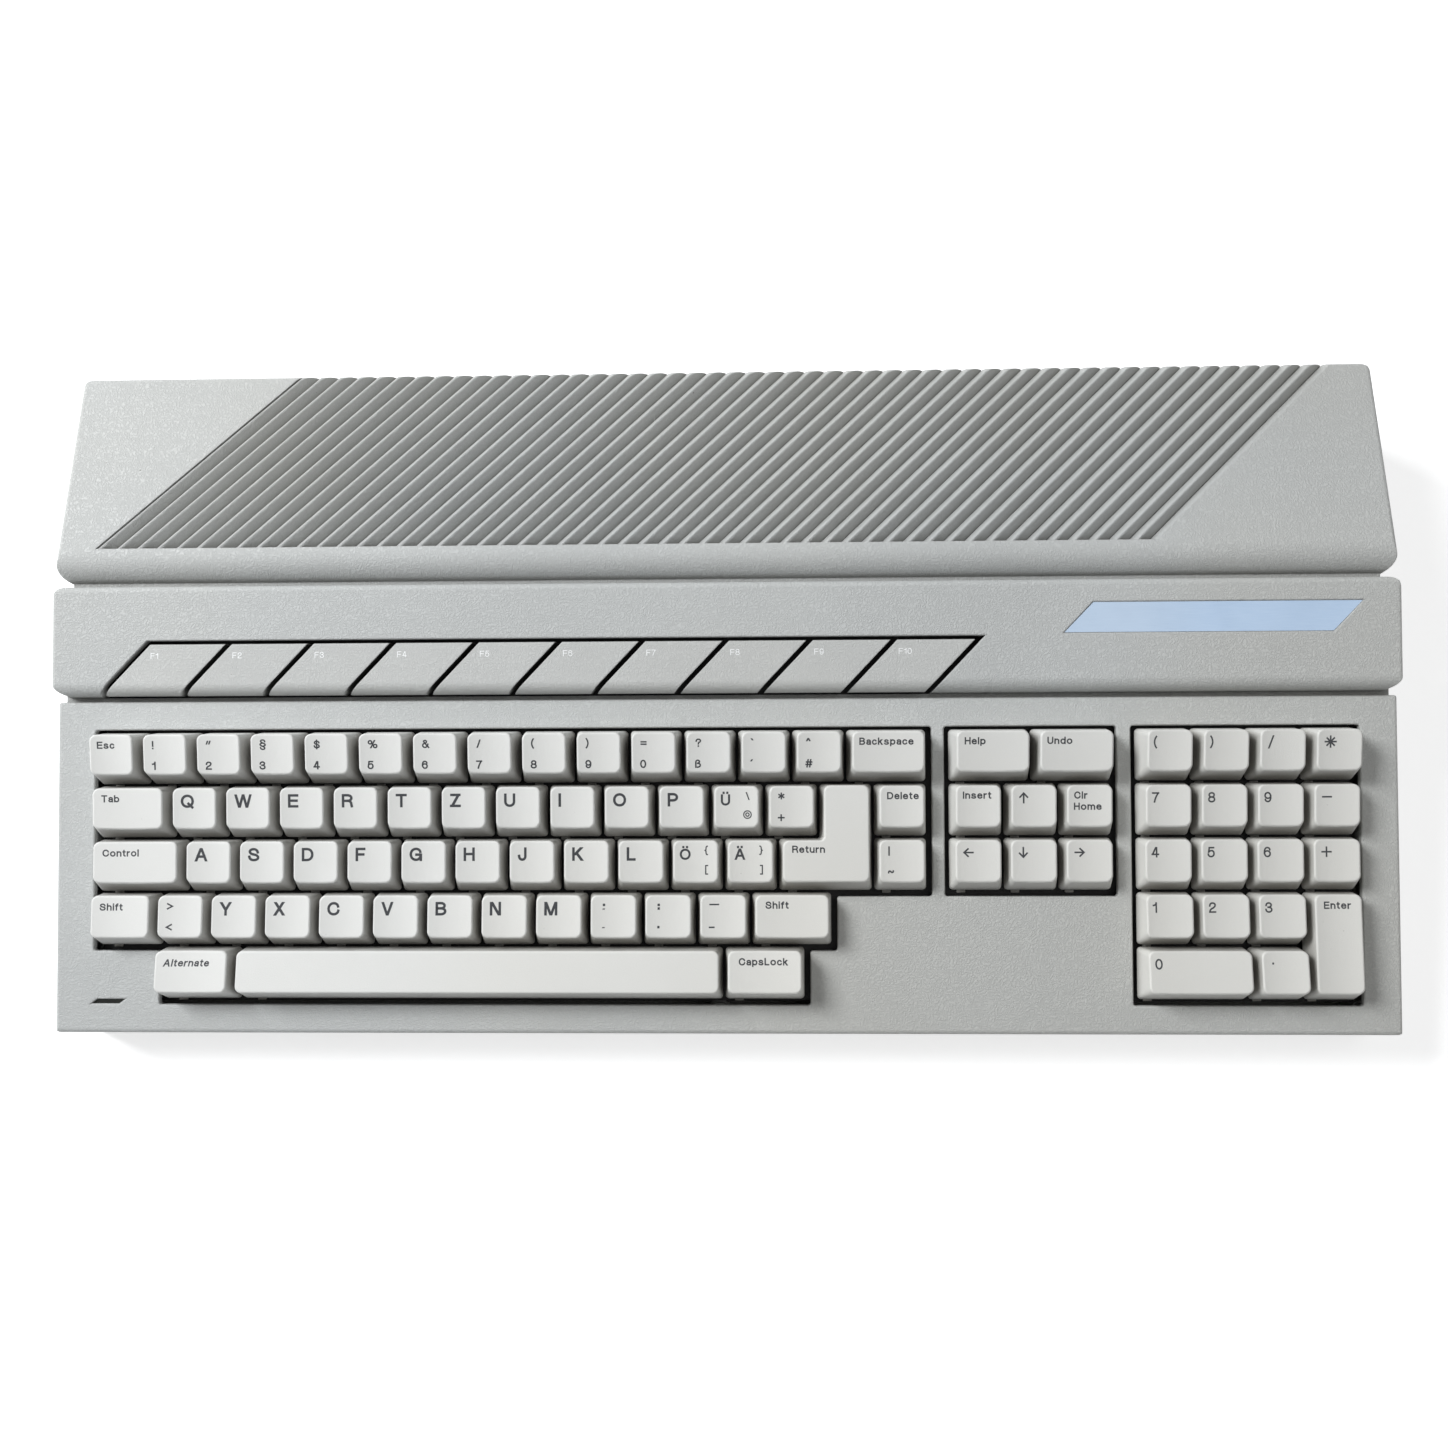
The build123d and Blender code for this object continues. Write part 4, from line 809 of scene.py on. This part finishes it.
def keyRow(node, block, row, start, marks, style):
    # one mark on each key of a row
    for i, mark in enumerate(marks):
        legend(node, mark, style, topCorner(block, start + i, 1, row))


def pairRow(node, block, row, start, pairs, styles=("upper", "lower")):
    # two marks, one above the other, on each key of a row
    for i, marks in enumerate(pairs):
        for mark, style in zip(marks, styles):
            legend(node, mark, style, topCorner(block, start + i, 1, row))


def mainLegends():
    pairRow("number_row_keys", "main", 0, 1,
            ("!1", "\"2", "§3", "$4", "%5", "&6", "/7", "(8", ")9", "=0", "?ß", "`´", "^#"))
    keyRow("top_letter_keys", "main", 1, 1.5, "QWERTZUIOP", "letter")
    keyRow("home_letter_keys", "main", 2, 1.75, "ASDFGHJKL", "letter")
    keyRow("bottom_letter_keys", "main", 3, 2.25, "YXCVBNM", "letter")
    pairRow("bottom_letter_keys", "main", 3, 1.25, ("><",))
    pairRow("bottom_letter_keys", "main", 3, 9.25, (";,", ":."), ("dots", "lowDots"))
    pairRow("bottom_letter_keys", "main", 3, 11.25, ("_-",))
    pairRow("top_letter_keys", "main", 1, 12.5, ("*+",))
    pairRow("home_letter_keys", "main", 2, 14.5, ("|~",))
    for node, row, start, marks, low in (("top_letter_keys", 1, 11.5, "Ü\\◎", "rightLow"),
                                         ("home_letter_keys", 2, 10.75, "Ö{[", "bracket"),
                                         ("home_letter_keys", 2, 11.75, "Ä}]", "bracket")):
        for mark, style in zip(marks, ("umlaut", "rightHigh", low)):
            legend(node, mark, style, topCorner("main", start, 1, row))


def wordLegends():
    cursor = "help_and_cursor_keys"
    # node, word, the key's place, and how far the word is moved on it
    for node, words, place, move in (
        ("escape_key", "Esc", ("main", 0, 1, 0), (0, 0)),
        ("backspace_key", "Backspace", ("main", 14, 1.5, 0), (-0.2, 0.2)),
        ("tab_key", "Tab", ("main", 0, 1.5, 1), (0.5, 0)),
        ("top_letter_keys", "Delete", ("main", 14.5, 1, 1), (0, 0.2)),
        ("control_key", "Control", ("main", 0, 1.75, 2), (0.7, -0.3)),
        ("return_key", "Return", ("main", 12.75, 1.75, 2), (0.6, 0.6)),
        ("left_shift_key", "Shift", ("main", 0, 1.25, 3), (0.4, -0.3)),
        ("right_shift_key", "Shift", ("main", 12.25, 1.5, 3), (0.9, 0.2)),
        ("caps_lock_key", "CapsLock", ("main", 11.75, 1.5, 4), (1.1, 0)),
        (cursor, "Help", ("cursor", 0, 1.5, 0), (0.1, 0.2)),
        (cursor, "Undo", ("cursor", 1.5, 1.5, 0), (-0.3, 0.2)),
        (cursor, "Insert", ("cursor", 0, 1, 1), (-0.2, 0.3)),
        (cursor, "Clr", ("cursor", 2, 1, 1), (-0.2, 0.2)),
        ("keypad_enter_key", "Enter", ("keypad", 3, 1, 3, 2), (0.5, 0)),
    ):
        legend(node, words, "word", topCorner(*place), move)
    alternate = topCorner("main", 1.25, 1.5, 4)
    legend("alternate_key", "Alternate", "word", alternate, (0.2, -0.5), slantedWord)
    legend(cursor, "Home", "word", topCorner("cursor", 2, 1, 1), (-0.3, -3.65))


def padLegends():
    node = "keypad_keys"
    keyRow(node, "keypad", 0, 0, "()", "sign")
    keyRow(node, "keypad", 0, 2, "/✳", "wideSign")
    for row, marks in enumerate(("789", "456", "123")):
        keyRow(node, "keypad", row + 1, 0, marks, "digit")
    legend(node, "−", "wideSign", topCorner("keypad", 3, 1, 1))
    legend(node, "+", "wideSign", topCorner("keypad", 3, 1, 2))
    legend(node, "0", "digit", topCorner("keypad", 0, 2, 4))
    legend(node, ".", "point", topCorner("keypad", 2, 1, 4))
    legend("help_and_cursor_keys", "↑", "arrow", topCorner("cursor", 1, 1, 1))
    keyRow("help_and_cursor_keys", "cursor", 2, 0, "←↓→", "arrow")


# pale rests on the key guide, one in front of each key, left of its stem
restPads = {
    "size": (3.1, 1.3, 0.9), "round": 0.3, "right": 5.1, "front": 0.45, "floor": -6.6,
    # block, row, and the left edge of each key in it
    "rows": (("main", 0, (*range(15),)), ("main", 1, (0, *[1.5 + i for i in range(12)], 14.5)),
             ("main", 2, (0, *[1.75 + i for i in range(11)], 12.75, 14.5)),
             ("main", 3, (0, *[1.25 + i for i in range(11)], 12.25)), ("main", 4, (1.25, 2.75, 11.75)),
             ("cursor", 0, (0, 1.5)), ("cursor", 1, (0, 1, 2)), ("cursor", 2, (0, 1, 2)),
             ("keypad", 0, (0, 1, 2, 3)), ("keypad", 1, (0, 1, 2, 3)), ("keypad", 2, (0, 1, 2, 3)),
             ("keypad", 3, (0, 1, 2)), ("keypad", 4, (0, 2, 3))),
}


def makeRestPads(s):
    # one pad is shaped at the origin, then copied to each place on the guide
    bpy.ops.object.select_all(action="DESELECT")
    bpy.ops.mesh.primitive_cube_add(size=mm, location=(0, 0, 0))
    pad = bpy.context.object
    bpy.ops.object.mode_set(mode="EDIT")
    bpy.ops.mesh.select_all(action="SELECT")
    bpy.ops.transform.resize(value=s["size"])
    bpy.ops.mesh.bevel(offset=s["round"] * mm, segments=2, affect="EDGES")
    bpy.ops.object.mode_set(mode="OBJECT")
    lean = Matrix.Rotation(tilt, 4, "X")
    copies = []
    for block, row, starts in s["rows"]:
        for start in starts:
            x = keyField[block] + start * keyField["pitch"] + s["right"]
            b = -(row + 1) * keyField["pitch"] - s["front"]
            twin = pad.copy()
            twin.data = pad.data.copy()
            bpy.context.collection.objects.link(twin)
            place = deckPoint(x, b, s["floor"] + s["size"][2] / 2)
            twin.data.transform(Matrix.Translation(place) @ lean)
            copies.append(twin)
    bpy.data.objects.remove(pad)
    bpy.ops.object.select_all(action="DESELECT")
    for twin in copies:
        twin.select_set(True)
    bpy.context.view_layer.objects.active = copies[0]
    bpy.ops.object.join()
    pads = bpy.context.object
    pads.name = pads.data.name = "keyRestPads"
    pads.data.materials.clear()
    pads.data.materials.append(plastic("padPlastic"))
    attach(pads, "case")


# place of a function key's back left corner, and how far its sides lean
functionKeys = {"left": -200.0, "step": 29.35, "back": 32.1, "edge": 31.2, "slant": 0.95}


def functionLegends():
    s = functionKeys
    for i in range(10):
        x = s["left"] + i * s["step"] - (s["back"] - s["edge"]) * s["slant"]
        legend(f"function_key_{i + 1}", f"F{i + 1}", "function", (x, s["edge"]))


def makeLegends():
    # all the ink on one node is one piece, which moves with that node
    bodies = frame["record"]["behaviour"]["bodies"]
    bodyOf = {node: body for body, members in bodies.items() for node in members}
    for node, (spots, faces) in inkShapes.items():
        onFunctionKey = node.startswith("function_key")
        words = node.split("_")
        name = words[0] + "".join(w.capitalize() for w in words[1:]) + "Legend"
        mesh = bpy.data.meshes.new(name)
        mesh.from_pydata(spots, [], faces)
        mesh.materials.append(functionInk if onFunctionKey else keyInk)
        ink = bpy.data.objects.new(name, mesh)
        bpy.context.scene.collection.objects.link(ink)
        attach(ink, bodyOf[node])


makeRestPads(restPads)
print("rest pads made")
mainLegends()
wordLegends()
padLegends()
functionLegends()
makeLegends()
print("legends printed on", len(inkShapes), "keys and key groups")
